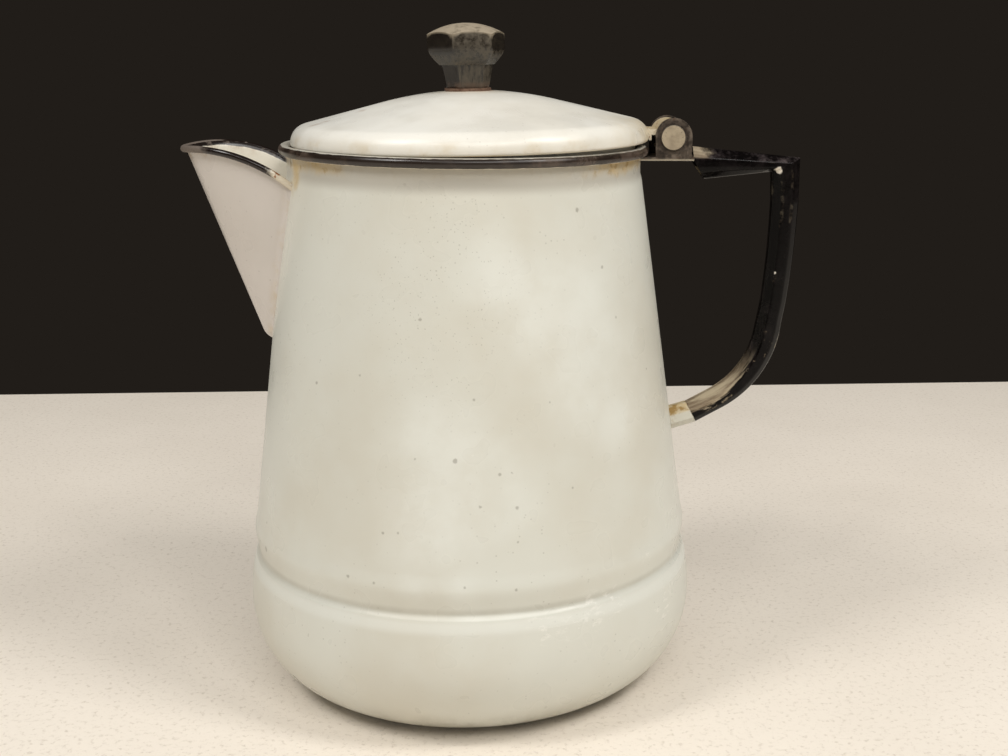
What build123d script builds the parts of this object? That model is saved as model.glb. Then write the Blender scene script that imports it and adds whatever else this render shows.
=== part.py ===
from build123d import *
import os
from math import asin, cos, radians, sin, sqrt

# Enamel coffee pot with a hinged lid, in millimetres, +Z up.
# Origin: centre of the foot, on the table. Handle towards +X, spout towards -X.

# Body
wall = 1.2
foot_radius = 55.0
bowl_radius = 82.5
bowl_height = 31.8
shoulder_radius = 80.2
shoulder_height = 48.6
groove_radius = 78.9
groove_height = 50.8
ridge_radius = 79.85
ridge_height = 58.8
step_roundness = 0.55
flank_roundness = 2.5
swell_roundness = 1.8
cone_foot_radius = 78.75
cone_foot_height = 64.5
cone_top_radius = 61.9
cone_top_height = 183.6
neck_radius = 61.3
neck_foot_height = 186.0
bead_centre_height = 193.45
bead_radius = 1.65
bead_outer_radius = 64.0

# Spout: oval sections that widen upwards, cut along an arc at the lip
spout_centre_x = -60.4
spout_foot_height = 126.8
spout_foot_length = 11.65
spout_foot_half_width = 10.8
spout_foot_round = 3.4
spout_top_height = 197.0
spout_top_length = 36.2
spout_top_half_width = 24.2
lip_arc_x = -88.5
lip_arc_height = 147.8
lip_arc_radius = 46.0
lip_bead_radius = 1.15
lip_bead_offset = 0.7
lip_half_turn = 105
lip_stations = 20
lip_bead_sides = 12

# Straining holes in the wall behind the spout
strain_hole_radius = 1.8
strain_pitch = 6.4
strain_rows = 6
strain_first_height = 140.0
strain_margin = 3.4

# Hinge
pin_x = 71.9
pin_height = 198.0
pin_radius = 4.0
pin_head_radius = 4.4
pin_head_thickness = 0.9
pin_clearance = 0.05
ear_gap = 16.0
ear_thickness = 1.6
ear_centre_x = 72.3
ear_centre_height = 198.2
ear_radius = 6.4
bracket_floor_height = 190.0
bracket_floor_thickness = 1.4
bracket_bend_radius = 1.3
bracket_back_x = 79.6
tang_end_x = 93.0

# Lid: built level on the Z axis, then moved and tilted onto the rim
lid_wall = 1.1
lid_radius = 62.0
lid_hem_height = 195.4
lid_hem_radius = 1.2
lid_hem_inner_radius = 59.2
lid_shoulder_radius = 6.4
lid_flank_angle = 13.8
lid_crown_radius_out = 30.0
lid_shift = 2.2
lid_tilt = 1.28
collar_outer_radius = 57.2
collar_wall = 1.0
collar_foot_height = 187.3
collar_flange_inner_radius = 51.0
screw_hole_radius = 2.4

# Hinge tab of the lid
tab_width = 15.0
tab_thickness = 1.9
tab_underside_height = 198.75
tab_foot_height = 196.9
tab_foot_top = 200.9
tab_foot_thickness = 0.9
tab_wrap_gap_angle = 50

# Knob, six-sided, and its screw: it stands a little off the lid's centre
knob_offset = -0.6
knob_base_gap = 0.7
knob_top_height = 235.2
knob_cap_radius = 26.0
knob_turn = 9.5
stem_base_radius = 7.7
stem_top_radius = 9.25
stem_top_height = 221.5
head_sections = ((221.5, 9.8), (223.4, 11.8), (225.2, 13.1), (227.0, 13.7), (236.0, 13.7))
washer_radius = 8.0
screw_radius = 2.0
screw_depth = 12.0
screw_head_radius = 3.8
screw_head_height = 2.2
screw_slot_width = 0.9
screw_slot_depth = 1.0
inner_washer_radius = 5.6
inner_washer_thickness = 0.8

# Handle: hollow, eight-sided, mitred at the top corner, round at the lower bend
handle_wall = 1.0
handle_bevel = 0.31
handle_left_x = 80.2
handle_left_top = 194.4
handle_left_bottom = 183.1
handle_notch_height = 190.0
handle_notch_x = 84.6
mitre_outer = (119.3, 190.6)
mitre_inner = (109.1, 185.7)
handle_top_width = 9.8
handle_end_width = 8.6
grip_sections = (
    (114.6, 175.5, 269.0, 10.0),
    (114.35, 166.6, 267.6, 9.8),
    (113.9, 157.5, 266.2, 9.6),
    (113.2, 148.2, 264.8, 9.4),
    (112.25, 139.0, 263.2, 9.2),
    (111.1, 132.2, 261.5, 9.15),
)
bend_start = (110.4, 127.6)
bend_radius = 36.0
bend_first_heading = 260.5
bend_last_heading = 208.0
bend_steps = 10
bend_depth = 9.4
handle_end_depth = 8.5
lower_run = 10.3
stub_heading = 196.0
stub_length = 13.0
stub_spigot = 8.0
bore_overrun = 3.0

neck_inner_radius = neck_radius - wall
bead_outer_centre = bead_outer_radius - bead_radius
bead_inner_centre = neck_inner_radius + bead_radius
crown_arc_radius = lid_crown_radius_out / sin(radians(lid_flank_angle))
side = Plane.XZ


def arc_through(start, middle, end):
    return ThreePointArc(start, middle, end)


def body_side(inset):
    """Profile of the body from the foot up to the top of the cone, moved inwards by inset."""
    bowl_arc = shoulder_arc_radius()
    lean = asin((shoulder_height - bowl_height) / bowl_arc)
    bowl_centre = bowl_radius - bowl_arc
    reach = bowl_arc - inset
    shoulder_mid = (bowl_centre + reach * cos(lean / 2), bowl_height + reach * sin(lean / 2))
    foot = (foot_radius, inset)
    waist = (bowl_radius - inset, bowl_height)
    shoulder = (shoulder_radius - inset, shoulder_height)
    groove = (groove_radius - inset, groove_height)
    ridge = (ridge_radius - inset, ridge_height)
    cone_foot = (cone_foot_radius - inset, cone_foot_height)
    cone_top = (cone_top_radius - inset, cone_top_height)
    over_shoulder = (shoulder[0] - step_roundness * sin(lean), shoulder[1] + step_roundness * cos(lean))
    under_cone = (cone_foot[0] + swell_roundness * cone_slope(), cone_foot[1] - swell_roundness)
    bowl = EllipticalCenterArc((foot_radius, bowl_height), bowl_radius - foot_radius - inset,
                               bowl_height - inset, start_angle=270, arc_size=90)
    return [
        Line((0, inset), foot),
        bowl,
        arc_through(waist, shoulder_mid, shoulder),
        Bezier(shoulder, over_shoulder, (groove[0], groove[1] - step_roundness), groove),
        Bezier(groove, (groove[0], groove[1] + flank_roundness),
               (ridge[0], ridge[1] - flank_roundness), ridge),
        Bezier(ridge, (ridge[0], ridge[1] + swell_roundness), under_cone, cone_foot),
        Line(cone_foot, cone_top),
        Line(cone_top, (neck_radius - inset, neck_foot_height)),
    ]


def shoulder_arc_radius():
    fall = bowl_radius - shoulder_radius
    rise = shoulder_height - bowl_height
    return (fall ** 2 + rise ** 2) / (2 * fall)


def cone_slope():
    return (cone_foot_radius - cone_top_radius) / (cone_top_height - cone_foot_height)


def cone_radius(height):
    return cone_top_radius + cone_slope() * (cone_top_height - height)


def spin(edges):
    """Solid of revolution about the Z axis from a closed chain of profile edges."""
    return revolve(side * make_face(edges), Axis.Z)


def bead_section():
    """Rolled rim from the neck's outer side round to its inner side."""
    bottom = bead_centre_height - bead_radius
    top = bead_centre_height + bead_radius
    half = bead_radius * sqrt(0.5)
    return [
        Line((neck_radius, bottom), (bead_outer_centre, bottom)),
        arc_through((bead_outer_centre, bottom), (bead_outer_radius, bead_centre_height),
                    (bead_outer_centre, top)),
        Line((bead_outer_centre, top), (bead_inner_centre, top)),
        arc_through((bead_inner_centre, top),
                    (bead_inner_centre - half, bead_centre_height + half),
                    (neck_inner_radius, bead_centre_height)),
    ]


def body_profile():
    """Outer side of the body from the axis to the inner edge of the rim."""
    bottom = bead_centre_height - bead_radius
    return body_side(0) + [Line((neck_radius, neck_foot_height), (neck_radius, bottom))] + bead_section()


def body_block():
    """The body without its hollow: what the welded pieces are shaped to."""
    return spin(body_profile() + [Line((neck_inner_radius, bead_centre_height), (0, bead_centre_height)),
                                  Line((0, bead_centre_height), (0, 0))])


def whole_shell():
    """Bowl and upper body in one, of even wall, with the rolled rim."""
    inner_rim = (neck_inner_radius, bead_centre_height)
    edges = body_profile() + [
        Line(inner_rim, (neck_inner_radius, neck_foot_height)),
    ] + body_side(wall) + [Line((0, wall), (0, 0))]
    return spin(edges)


def base_bowl(shell):
    """Drawn bowl with the flat foot: it ends at the bottom of the groove, where the seam is."""
    return split(shell, Plane.XY.offset(groove_height), keep=Keep.BOTTOM)


def body_shell(shell):
    """Tapered upper body with the rolled rim, pierced behind the spout."""
    return split(shell, Plane.XY.offset(groove_height), keep=Keep.TOP) - strain_holes()


def spout_section(height, inset=0.0):
    """Half length and half width of the spout's oval section at a height."""
    share = (height - spout_foot_height) / (spout_top_height - spout_foot_height)
    length = spout_foot_length + share * (spout_top_length - spout_foot_length)
    width = spout_foot_half_width + share * (spout_top_half_width - spout_foot_half_width)
    return length - inset, width - inset


def strain_holes():
    """Field of punched holes, as many in each row as the spout covers."""
    holes = []
    for row in range(strain_rows):
        height = strain_first_height + row * strain_pitch
        length, width = spout_section(height)
        wall_x = cone_radius(height)
        cover = width * sqrt(1 - ((wall_x + spout_centre_x) / length) ** 2) - strain_margin
        count = 1 + int(2 * cover / strain_pitch)
        for place in range(count):
            across = (place - (count - 1) / 2) * strain_pitch
            hole = Cylinder(strain_hole_radius, spout_foot_length, rotation=(0, 90, 0))
            holes.append(Pos(-wall_x, across, height) * hole)
    return holes


def spout_block(inset):
    """Oval cone with a rounded foot, moved inwards by inset."""
    foot = spout_foot_height + inset
    low = Pos(spout_centre_x, 0, foot) * Ellipse(*spout_section(foot, inset))
    high = Pos(spout_centre_x, 0, spout_top_height) * Ellipse(*spout_section(spout_top_height, inset))
    cone = loft([low, high], ruled=True)
    return fillet(cone.edges().sort_by(Axis.Z)[0], spout_foot_round - inset)


def lip_height(x):
    return lip_arc_height + sqrt(lip_arc_radius ** 2 - (x - lip_arc_x) ** 2)


def lip_point(angle):
    """Point of the lip, angle degrees round the spout from its nose."""
    turn = radians(angle)
    height = lip_arc_height + lip_arc_radius
    for _ in range(8):
        length, width = spout_section(height, -lip_bead_offset)
        height = lip_height(spout_centre_x - length * cos(turn))
    return Vector(spout_centre_x - length * cos(turn), width * sin(turn), height)


def lip_bead():
    """Rolled edge: round sections along the lip, from one side of the body to the other."""
    angles = [lip_half_turn * (2 * i / lip_stations - 1) for i in range(lip_stations + 1)]
    sections = []
    for angle in angles:
        along = lip_point(angle + 1) - lip_point(angle - 1)
        plane = Plane(lip_point(angle), x_dir=Vector(0, 0, 1).cross(along), z_dir=along)
        sections.append(plane * RegularPolygon(lip_bead_radius, lip_bead_sides))
    return loft(sections, ruled=True)


def spout(block):
    shell = spout_block(0) - spout_block(wall)
    under_lip = Cylinder(lip_arc_radius, 4 * spout_top_half_width, rotation=(90, 0, 0))
    return (shell & Pos(lip_arc_x, 0, lip_arc_height) * under_lip) + lip_bead() - block


def hinge_profile():
    """Side view of the bracket: floor, and ears with round tops."""
    floor_top = bracket_floor_height + bracket_floor_thickness
    back = bracket_back_x - neck_inner_radius
    floor = Pos(neck_inner_radius, bracket_floor_height) * Rectangle(
        back, bracket_floor_thickness, align=(Align.MIN, Align.MIN))
    ear = Pos(ear_centre_x - ear_radius, bracket_floor_height) * Rectangle(
        2 * ear_radius, ear_centre_height - bracket_floor_height, align=(Align.MIN, Align.MIN))
    eye = Pos(ear_centre_x, ear_centre_height) * Circle(ear_radius)
    return floor + ear + eye


def hinge_bracket(block, bore):
    """Pressed channel with two ears, welded to the neck, with a tang inside the handle."""
    outer = ear_gap / 2 + ear_thickness
    height = ear_centre_height + ear_radius - bracket_floor_height
    channel = Pos(0, bracket_floor_height) * Rectangle(2 * outer, height, align=(Align.CENTER, Align.MIN))
    channel = fillet(channel.vertices().group_by(Axis.Y)[0], bracket_bend_radius)
    channel -= Pos(0, bracket_floor_height + bracket_floor_thickness) * Rectangle(
        ear_gap, height, align=(Align.CENTER, Align.MIN))
    length = bracket_back_x - neck_inner_radius
    bar = extrude(Plane.YZ.offset(neck_inner_radius) * channel, length)
    bracket = bar & extrude(side * hinge_profile(), outer, both=True)
    floor_middle = bracket_floor_height + bracket_floor_thickness / 2
    tang = Pos((bracket_back_x + tang_end_x) / 2, 0, floor_middle) * Box(
        tang_end_x - bracket_back_x, handle_top_width, bracket_floor_thickness)
    neck = Pos((bracket_back_x + handle_left_x) / 2, 0, floor_middle) * Box(
        handle_left_x - bracket_back_x, handle_top_width - 2 * handle_wall, bracket_floor_thickness)
    bracket = bracket + neck + (tang & bore)
    hole = Pos(pin_x, 0, pin_height) * Cylinder(pin_radius, 3 * outer, rotation=(90, 0, 0))
    return bracket - hole - block


def hinge_pin():
    """Rivet with a flat head at both ends."""
    outer = ear_gap / 2 + ear_thickness
    pin = Cylinder(pin_radius, 2 * outer, rotation=(90, 0, 0))
    for end in (-1, 1):
        head = Cylinder(pin_head_radius, pin_head_thickness, rotation=(90, 0, 0))
        head = chamfer(head.edges().sort_by(Axis.Y)[0 if end < 0 else -1], pin_head_thickness / 4)
        pin += Pos(0, end * (outer + pin_head_thickness / 2), 0) * head
    return Pos(pin_x, 0, pin_height) * pin


def lid_outline(inset):
    """Profile of the lid from its widest place to the apex, moved inwards by inset."""
    lean = radians(lid_flank_angle)
    widest = lid_hem_height + lid_hem_radius
    centre = (lid_radius - lid_shoulder_radius, widest)
    radius = lid_shoulder_radius - inset
    mid = radians(90 - lid_flank_angle) / 2
    flank_foot = (centre[0] + radius * sin(lean), centre[1] + radius * cos(lean))
    fall = centre[0] + lid_shoulder_radius * sin(lean) - lid_crown_radius_out
    crown_x = lid_crown_radius_out - inset * sin(lean)
    crown_z = centre[1] + lid_shoulder_radius * cos(lean) + fall * sin(lean) / cos(lean) - inset * cos(lean)
    crown_radius = crown_arc_radius - inset
    crown_centre = crown_z - crown_radius * cos(lean)
    crown_mid = (crown_radius * sin(lean / 2), crown_centre + crown_radius * cos(lean / 2))
    apex = (0, crown_centre + crown_radius)
    return [
        arc_through((centre[0] + radius, widest),
                    (centre[0] + radius * cos(mid), centre[1] + radius * sin(mid)), flank_foot),
        Line(flank_foot, (crown_x, crown_z)),
        arc_through((crown_x, crown_z), crown_mid, apex),
    ]


def lid_apex(inset):
    return (lid_outline(inset)[-1] @ 1).Y


def under_dome(inset):
    """Everything under the dome, moved inwards by inset, down past the collar."""
    widest = lid_hem_height + lid_hem_radius
    edge = lid_radius - inset
    return spin(lid_outline(inset) + [Line((edge, widest), (edge, collar_foot_height)),
                                      Line((edge, collar_foot_height), (0, collar_foot_height)),
                                      Line((0, collar_foot_height), (0, lid_apex(inset)))])


def lid_shell():
    """Domed lid with its edge turned in."""
    widest = lid_hem_height + lid_hem_radius
    hem_start = (lid_radius - lid_hem_radius, lid_hem_height)
    hem_mid = (lid_radius - lid_hem_radius * (1 - cos(radians(45))),
               widest - lid_hem_radius * sin(radians(45)))
    hem_top = lid_hem_height + lid_wall
    edges = lid_outline(0) + [
        Line((0, lid_apex(0)), (0, lid_apex(lid_wall))),
    ] + lid_outline(lid_wall) + [
        Line((lid_radius - lid_wall, widest), (lid_hem_inner_radius, hem_top)),
        Line((lid_hem_inner_radius, hem_top), (lid_hem_inner_radius, lid_hem_height)),
        Line((lid_hem_inner_radius, lid_hem_height), hem_start),
        arc_through(hem_start, hem_mid, (lid_radius, widest)),
    ]
    return spin(edges) - Pos(knob_offset, 0, lid_apex(0)) * Cylinder(screw_hole_radius, 4 * lid_wall)


def tube(outer, inner, bottom, top):
    ring = Cylinder(outer, top - bottom, align=(Align.CENTER, Align.CENTER, Align.MIN))
    ring -= Cylinder(inner, top - bottom, align=(Align.CENTER, Align.CENTER, Align.MIN))
    return Pos(0, 0, bottom) * ring


def lid_collar():
    """Ring that keeps the lid central, with a flange welded under the dome."""
    inner = collar_outer_radius - collar_wall
    top = lid_apex(0)
    wall_ring = under_dome(lid_wall) & tube(collar_outer_radius, inner, collar_foot_height, top)
    flange = (under_dome(lid_wall) - under_dome(lid_wall + collar_wall)) & tube(
        collar_outer_radius, collar_flange_inner_radius, lid_hem_height, top)
    return wall_ring + flange


def place_on_rim(piece):
    """Move a piece of the level lid to where the lid rests: shifted back and tilted to the spout."""
    return Pos(lid_shift, 0, lid_hem_height) * Rot(0, -lid_tilt, 0) * Pos(0, 0, -lid_hem_height) * piece


def lid_hinge_tab():
    """Strap welded to the lid's shoulder and curled round the pin."""
    eye = pin_radius + pin_clearance
    curl = eye + tab_thickness
    middle = tab_underside_height + tab_thickness / 2
    ring = Circle(curl) - Circle(eye)
    opening = Polyline((0, 0), (-2 * curl, tab_underside_height - pin_height),
                       (-2 * curl, -2 * curl * sin(radians(tab_wrap_gap_angle))), close=True)
    ring -= make_face(opening)
    ring = Pos(pin_x, pin_height) * ring
    strap_end = pin_x - sqrt(eye ** 2 - (middle - pin_height) ** 2)
    strap_length = strap_end - lid_radius + lid_wall
    strap = Pos(strap_end - strap_length / 2, middle) * Rectangle(strap_length, tab_thickness)
    strap -= Pos(pin_x, pin_height) * Circle(eye)
    tab = extrude(side * (ring + strap), tab_width / 2, both=True)
    foot = place_on_rim(under_dome(-tab_foot_thickness))
    foot &= Pos(lid_radius, 0, (tab_foot_height + tab_foot_top) / 2) * Box(
        2 * lid_shoulder_radius, tab_width, tab_foot_top - tab_foot_height)
    return tab + foot - place_on_rim(under_dome(0))


def hexagon(height, radius):
    return Pos(0, 0, height) * RegularPolygon(radius, 6, rotation=knob_turn)


def knob():
    """Six-sided knob: tapered stem, undercut head and a domed top."""
    base = lid_apex(0) + knob_base_gap
    stem = loft([hexagon(base, stem_base_radius), hexagon(stem_top_height, stem_top_radius)], ruled=True)
    head = loft([hexagon(height, radius) for height, radius in head_sections], ruled=True)
    cap = Pos(0, 0, knob_top_height - knob_cap_radius) * Sphere(knob_cap_radius)
    body = (stem + head) & cap
    return Pos(knob_offset, 0, 0) * (body - Pos(0, 0, base) * Cylinder(screw_radius, 2 * screw_depth))


def knob_washer():
    """Thin plate between the knob and the dome, dished to fit it."""
    top = lid_apex(0) + knob_base_gap
    plate = tube(washer_radius, screw_hole_radius, top - 2 * knob_base_gap, top)
    return Pos(knob_offset, 0, 0) * plate - under_dome(0)


def inner_washer():
    top = lid_apex(lid_wall)
    plate = tube(inner_washer_radius, screw_hole_radius, top - inner_washer_thickness, top)
    return Pos(knob_offset, 0, 0) * plate & under_dome(lid_wall)


def knob_screw():
    """Slotted screw from inside the lid up into the knob."""
    seat = lid_apex(lid_wall) - inner_washer_thickness
    tip = lid_apex(0) + knob_base_gap + screw_depth
    up = (Align.CENTER, Align.CENTER, Align.MIN)
    shank = Pos(0, 0, seat) * Cylinder(screw_radius, tip - seat, align=up)
    head = Pos(0, 0, seat - screw_head_height) * Cylinder(screw_head_radius, screw_head_height, align=up)
    head = chamfer(head.edges().sort_by(Axis.Z)[0], screw_slot_depth / 2)
    slot = Pos(0, 0, seat - screw_head_height) * Box(
        3 * screw_head_radius, screw_slot_width, 2 * screw_slot_depth)
    return Pos(knob_offset, 0, 0) * (shank + head - slot)


def octagon(centre, across, depth, width, inset):
    """Section of the handle: flats and bevels, with its depth along the direction across."""
    half_depth = depth / 2 - inset
    half_width = width / 2 - inset
    bevel_depth = handle_bevel * depth - inset * (2 - sqrt(2))
    bevel_width = handle_bevel * width - inset * (2 - sqrt(2))
    corners = [
        (half_depth, half_width - bevel_width), (half_depth - bevel_depth, half_width),
        (bevel_depth - half_depth, half_width), (-half_depth, half_width - bevel_width),
        (-half_depth, bevel_width - half_width), (bevel_depth - half_depth, -half_width),
        (half_depth - bevel_depth, -half_width), (half_depth, bevel_width - half_width),
    ]
    outward = Vector(across[0], 0, across[1]).normalized()
    plane = Plane(Vector(centre[0], 0, centre[1]), x_dir=outward, z_dir=outward.cross(Vector(0, 1, 0)))
    return plane * make_face(Polyline(*corners, close=True))


def by_heading(x, z, heading, depth, width, inset):
    """Section square to a path that runs along heading, in degrees from +X towards +Z."""
    turn = radians(heading)
    return octagon((x, z), (-sin(turn), cos(turn)), depth, width, inset)


def along(x, z, heading, distance):
    turn = radians(heading)
    return x + distance * cos(turn), z + distance * sin(turn)


def bend_point(heading):
    """Point of the lower bend's centre line where the path has this heading."""
    start = radians(bend_first_heading)
    turn = radians(heading)
    centre_x = bend_start[0] + bend_radius * sin(start)
    centre_z = bend_start[1] - bend_radius * cos(start)
    return centre_x - bend_radius * sin(turn), centre_z + bend_radius * cos(turn)


def handle_end():
    x, z = bend_point(bend_last_heading)
    return along(x, z, bend_last_heading, lower_run)


def mitre_section(inset):
    across = (mitre_outer[0] - mitre_inner[0], mitre_outer[1] - mitre_inner[1])
    centre = ((mitre_outer[0] + mitre_inner[0]) / 2, (mitre_outer[1] + mitre_inner[1]) / 2)
    return octagon(centre, across, sqrt(across[0] ** 2 + across[1] ** 2), handle_top_width, inset)


def first_grip_section(inset):
    x, z, heading, depth = grip_sections[0]
    return by_heading(x, z, heading, depth, handle_top_width, inset)


def top_run(inset, overrun):
    """Straight run from the bracket, deep at the bracket, round the mitred corner to the grip."""
    slope_top = (mitre_outer[1] - handle_left_top) / (mitre_outer[0] - handle_left_x)
    slope_bottom = (mitre_inner[1] - handle_left_bottom) / (mitre_inner[0] - handle_left_x)
    top = handle_left_top - overrun * slope_top
    bottom = handle_left_bottom - overrun * slope_bottom
    start = octagon((handle_left_x - overrun, (top + bottom) / 2), (0, 1), top - bottom,
                    handle_top_width, inset)
    return loft([start, mitre_section(inset), first_grip_section(inset)], ruled=True)


def grip(inset, overrun):
    """Upright run, lower bend and lower run, as one tapering form."""
    sections = [first_grip_section(inset)]
    for x, z, heading, depth in grip_sections[1:]:
        sections.append(by_heading(x, z, heading, depth, handle_top_width, inset))
    for step in range(bend_steps + 1):
        share = step / bend_steps
        heading = bend_first_heading + share * (bend_last_heading - bend_first_heading)
        x, z = bend_point(heading)
        depth = bend_depth + share * (handle_end_depth - bend_depth)
        width = handle_top_width + share * (handle_end_width - handle_top_width)
        sections.append(by_heading(x, z, heading, depth, width, inset))
    x, z = along(*bend_point(bend_last_heading), bend_last_heading, lower_run + overrun)
    sections.append(by_heading(x, z, bend_last_heading, handle_end_depth, handle_end_width, inset))
    return loft(sections, ruled=True)


def handle_bore():
    return top_run(handle_wall, bore_overrun) + grip(handle_wall, bore_overrun)


def handle(bore):
    """Hollow formed handle, its top end cut slantwise under the bracket."""
    body = top_run(0, 0) + grip(0, 0)
    cut = make_face(Polyline((handle_left_x, handle_notch_height), (handle_notch_x, handle_left_bottom),
                             (handle_left_x, handle_left_bottom - wall),
                             (handle_left_x - wall, handle_notch_height), close=True))
    return body - bore - extrude(side * cut, handle_top_width, both=True)


def handle_stub(block, bore):
    """Short welded stub that carries the handle's lower end, with a spigot inside it."""
    x, z = handle_end()
    foot_x, foot_z = along(x, z, stub_heading, stub_length)
    start = by_heading(x, z, bend_last_heading, handle_end_depth, handle_end_width, 0)
    foot = by_heading(foot_x, foot_z, stub_heading, handle_end_depth, handle_end_width, 0)
    tip_x, tip_z = along(x, z, bend_last_heading, -stub_spigot / 2)
    slab = Pos(tip_x, 0, tip_z) * Rot(0, 180 - bend_last_heading, 0) * Box(
        stub_spigot, 2 * handle_end_width, 2 * handle_end_depth)
    return loft([start, foot], ruled=True) + (bore & slab) - block


block = body_block()
shell = whole_shell()
bore = handle_bore()
pieces = {
    "base_bowl": base_bowl(shell),
    "body_shell": body_shell(shell),
    "spout": spout(block),
    "hinge_bracket": hinge_bracket(block, bore),
    "hinge_pin": hinge_pin(),
    "handle": handle(bore),
    "handle_stub": handle_stub(block, bore),
    "lid_shell": place_on_rim(lid_shell()),
    "lid_collar": place_on_rim(lid_collar()),
    "lid_hinge_tab": lid_hinge_tab(),
    "knob": place_on_rim(knob()),
    "knob_washer": place_on_rim(knob_washer()),
    "knob_screw": place_on_rim(knob_screw()),
    "screw_washer": place_on_rim(inner_washer()),
}

os.makedirs("parts", exist_ok=True)
for name, piece in pieces.items():
    export_step(piece, f"parts/{name}.step")
    print(name, len(piece.solids()), round(piece.volume, 1))
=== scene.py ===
import math
import bmesh
import bpy
from mathutils import Matrix, Vector


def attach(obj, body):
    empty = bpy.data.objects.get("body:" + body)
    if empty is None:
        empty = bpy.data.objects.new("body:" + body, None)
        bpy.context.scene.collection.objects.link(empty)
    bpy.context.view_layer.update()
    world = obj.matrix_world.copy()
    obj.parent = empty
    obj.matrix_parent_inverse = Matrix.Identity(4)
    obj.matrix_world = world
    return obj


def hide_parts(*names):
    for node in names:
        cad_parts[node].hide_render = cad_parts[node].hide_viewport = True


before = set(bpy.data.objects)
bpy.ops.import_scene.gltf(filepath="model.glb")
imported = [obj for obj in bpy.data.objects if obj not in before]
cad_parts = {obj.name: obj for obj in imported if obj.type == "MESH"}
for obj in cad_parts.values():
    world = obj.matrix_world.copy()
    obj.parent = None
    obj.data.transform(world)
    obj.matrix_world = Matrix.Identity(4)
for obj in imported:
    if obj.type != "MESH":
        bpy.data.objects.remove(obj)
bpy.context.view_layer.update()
print("frame loaded:", ", ".join(sorted(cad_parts)))

mm = 0.001


# Helpers for meshes: outlines are (radius or x, height) in mm

def newObject(name, bm):
    mesh = bpy.data.meshes.new(name)
    bm.to_mesh(mesh)
    bm.free()
    piece = bpy.data.objects.new(name, mesh)
    bpy.context.scene.collection.objects.link(piece)
    return piece


def finishPiece(piece, body, replaced, sharpDegrees=35):
    for face in piece.data.polygons:
        face.use_smooth = True
    piece.data.set_sharp_from_angle(angle=math.radians(sharpDegrees))
    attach(piece, body)
    if replaced:
        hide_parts(*replaced)
    return piece


def arcPoints(centre, radiusX, radiusZ, startDegrees, endDegrees, steps):
    points = []
    for i in range(steps + 1):
        turn = math.radians(startDegrees + (endDegrees - startDegrees) * i / steps)
        points.append((centre[0] + radiusX * math.cos(turn), centre[1] + radiusZ * math.sin(turn)))
    return points


def bezierPoints(start, startLead, endLead, end, steps):
    points = []
    for i in range(steps + 1):
        t = i / steps
        weights = ((1 - t) ** 3, 3 * t * (1 - t) ** 2, 3 * t ** 2 * (1 - t), t ** 3)
        leads = (start, startLead, endLead, end)
        points.append(tuple(sum(w * lead[k] for w, lead in zip(weights, leads)) for k in (0, 1)))
    return points


def stretch(start, end, steps):
    # points between two ends, without the ends
    return [(start[0] + (end[0] - start[0]) * i / steps, start[1] + (end[1] - start[1]) * i / steps)
            for i in range(1, steps)]


def wire(outline):
    bm = bmesh.new()
    corners = [bm.verts.new((x * mm, 0, z * mm)) for x, z in outline]
    for a, b in zip(corners, corners[1:]):
        bm.edges.new((a, b))
    return bm


def turned(bm, steps):
    # spins a wire round the Z axis into a closed skin
    bmesh.ops.spin(bm, geom=bm.verts[:] + bm.edges[:], axis=(0, 0, 1), cent=(0, 0, 0),
                   angle=math.tau, steps=steps, use_merge=True)
    bmesh.ops.remove_doubles(bm, verts=bm.verts[:], dist=1e-6)
    bmesh.ops.recalc_face_normals(bm, faces=bm.faces[:])
    return bm


def mappedGrid(bm, columns, rows, place):
    # a grid whose points go where place(across, up) says, both from 0 to 1
    made = bmesh.ops.create_grid(bm, x_segments=columns, y_segments=rows, size=1.0)
    for vert in made["verts"]:
        vert.co = place((vert.co.x + 1) / 2, (vert.co.y + 1) / 2) * mm
    return made["verts"]


def ringSkin(bm, rings):
    # a skin through rings that all have the same number of points
    sides = len(rings[0])

    def place(around, along):
        return rings[round(along * (len(rings) - 1))][round(around * sides) % sides].copy()

    mappedGrid(bm, sides, len(rings) - 1, place)


def closeSkin(bm):
    bmesh.ops.remove_doubles(bm, verts=bm.verts[:], dist=2e-6)
    rims = [edge for edge in bm.edges if edge.is_boundary]
    if rims:
        bmesh.ops.bridge_loops(bm, edges=rims)
    bmesh.ops.recalc_face_normals(bm, faces=bm.faces[:])


def roundEdges(bm, edges, width, segments):
    bmesh.ops.bevel(bm, geom=edges, offset=width * mm, offset_type="OFFSET", segments=segments,
                    profile=0.5, affect="EDGES", material=-1, clamp_overlap=True)


def roundedCorners(corners, reach, flats):
    # points round a polygon: five on each rounded corner, then some along the flat after it
    points = []
    for i, here in enumerate(corners):
        following = corners[(i + 1) % len(corners)]
        before = (corners[i - 1] - here).normalized()
        after = (following - here).normalized()
        for share in (0, 0.25, 0.5, 0.75, 1):
            points.append(here + before * reach * (1 - share) ** 2 + after * reach * share ** 2)
        points += [here.lerp(following, share) for share in flats]
    return points


def softened(node, width, segments, sharpDegrees=28):
    # a CAD node's shape, merged, with its sharp edges rounded off
    bm = bmesh.new()
    bm.from_mesh(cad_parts[node].data)
    bmesh.ops.remove_doubles(bm, verts=bm.verts[:], dist=1e-6)
    bmesh.ops.dissolve_limit(bm, angle_limit=math.radians(0.5), verts=bm.verts[:], edges=bm.edges[:])
    sharp = [edge for edge in bm.edges if edge.is_manifold and
             edge.calc_face_angle() > math.radians(sharpDegrees)]
    roundEdges(bm, sharp, width, segments)
    return bm


# Camera: the photograph's viewing angle

cameraFacts = {
    "place": (0.0, -0.48196, 0.23036),
    "yaw": 0.0974,
    "pitch": 0.3054,
    "roll": 0.0114,
    "focalPixels": 1338.37,
    "centrePixels": (595.79, 460.97),
    "picture": (1008, 756),
}


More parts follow.
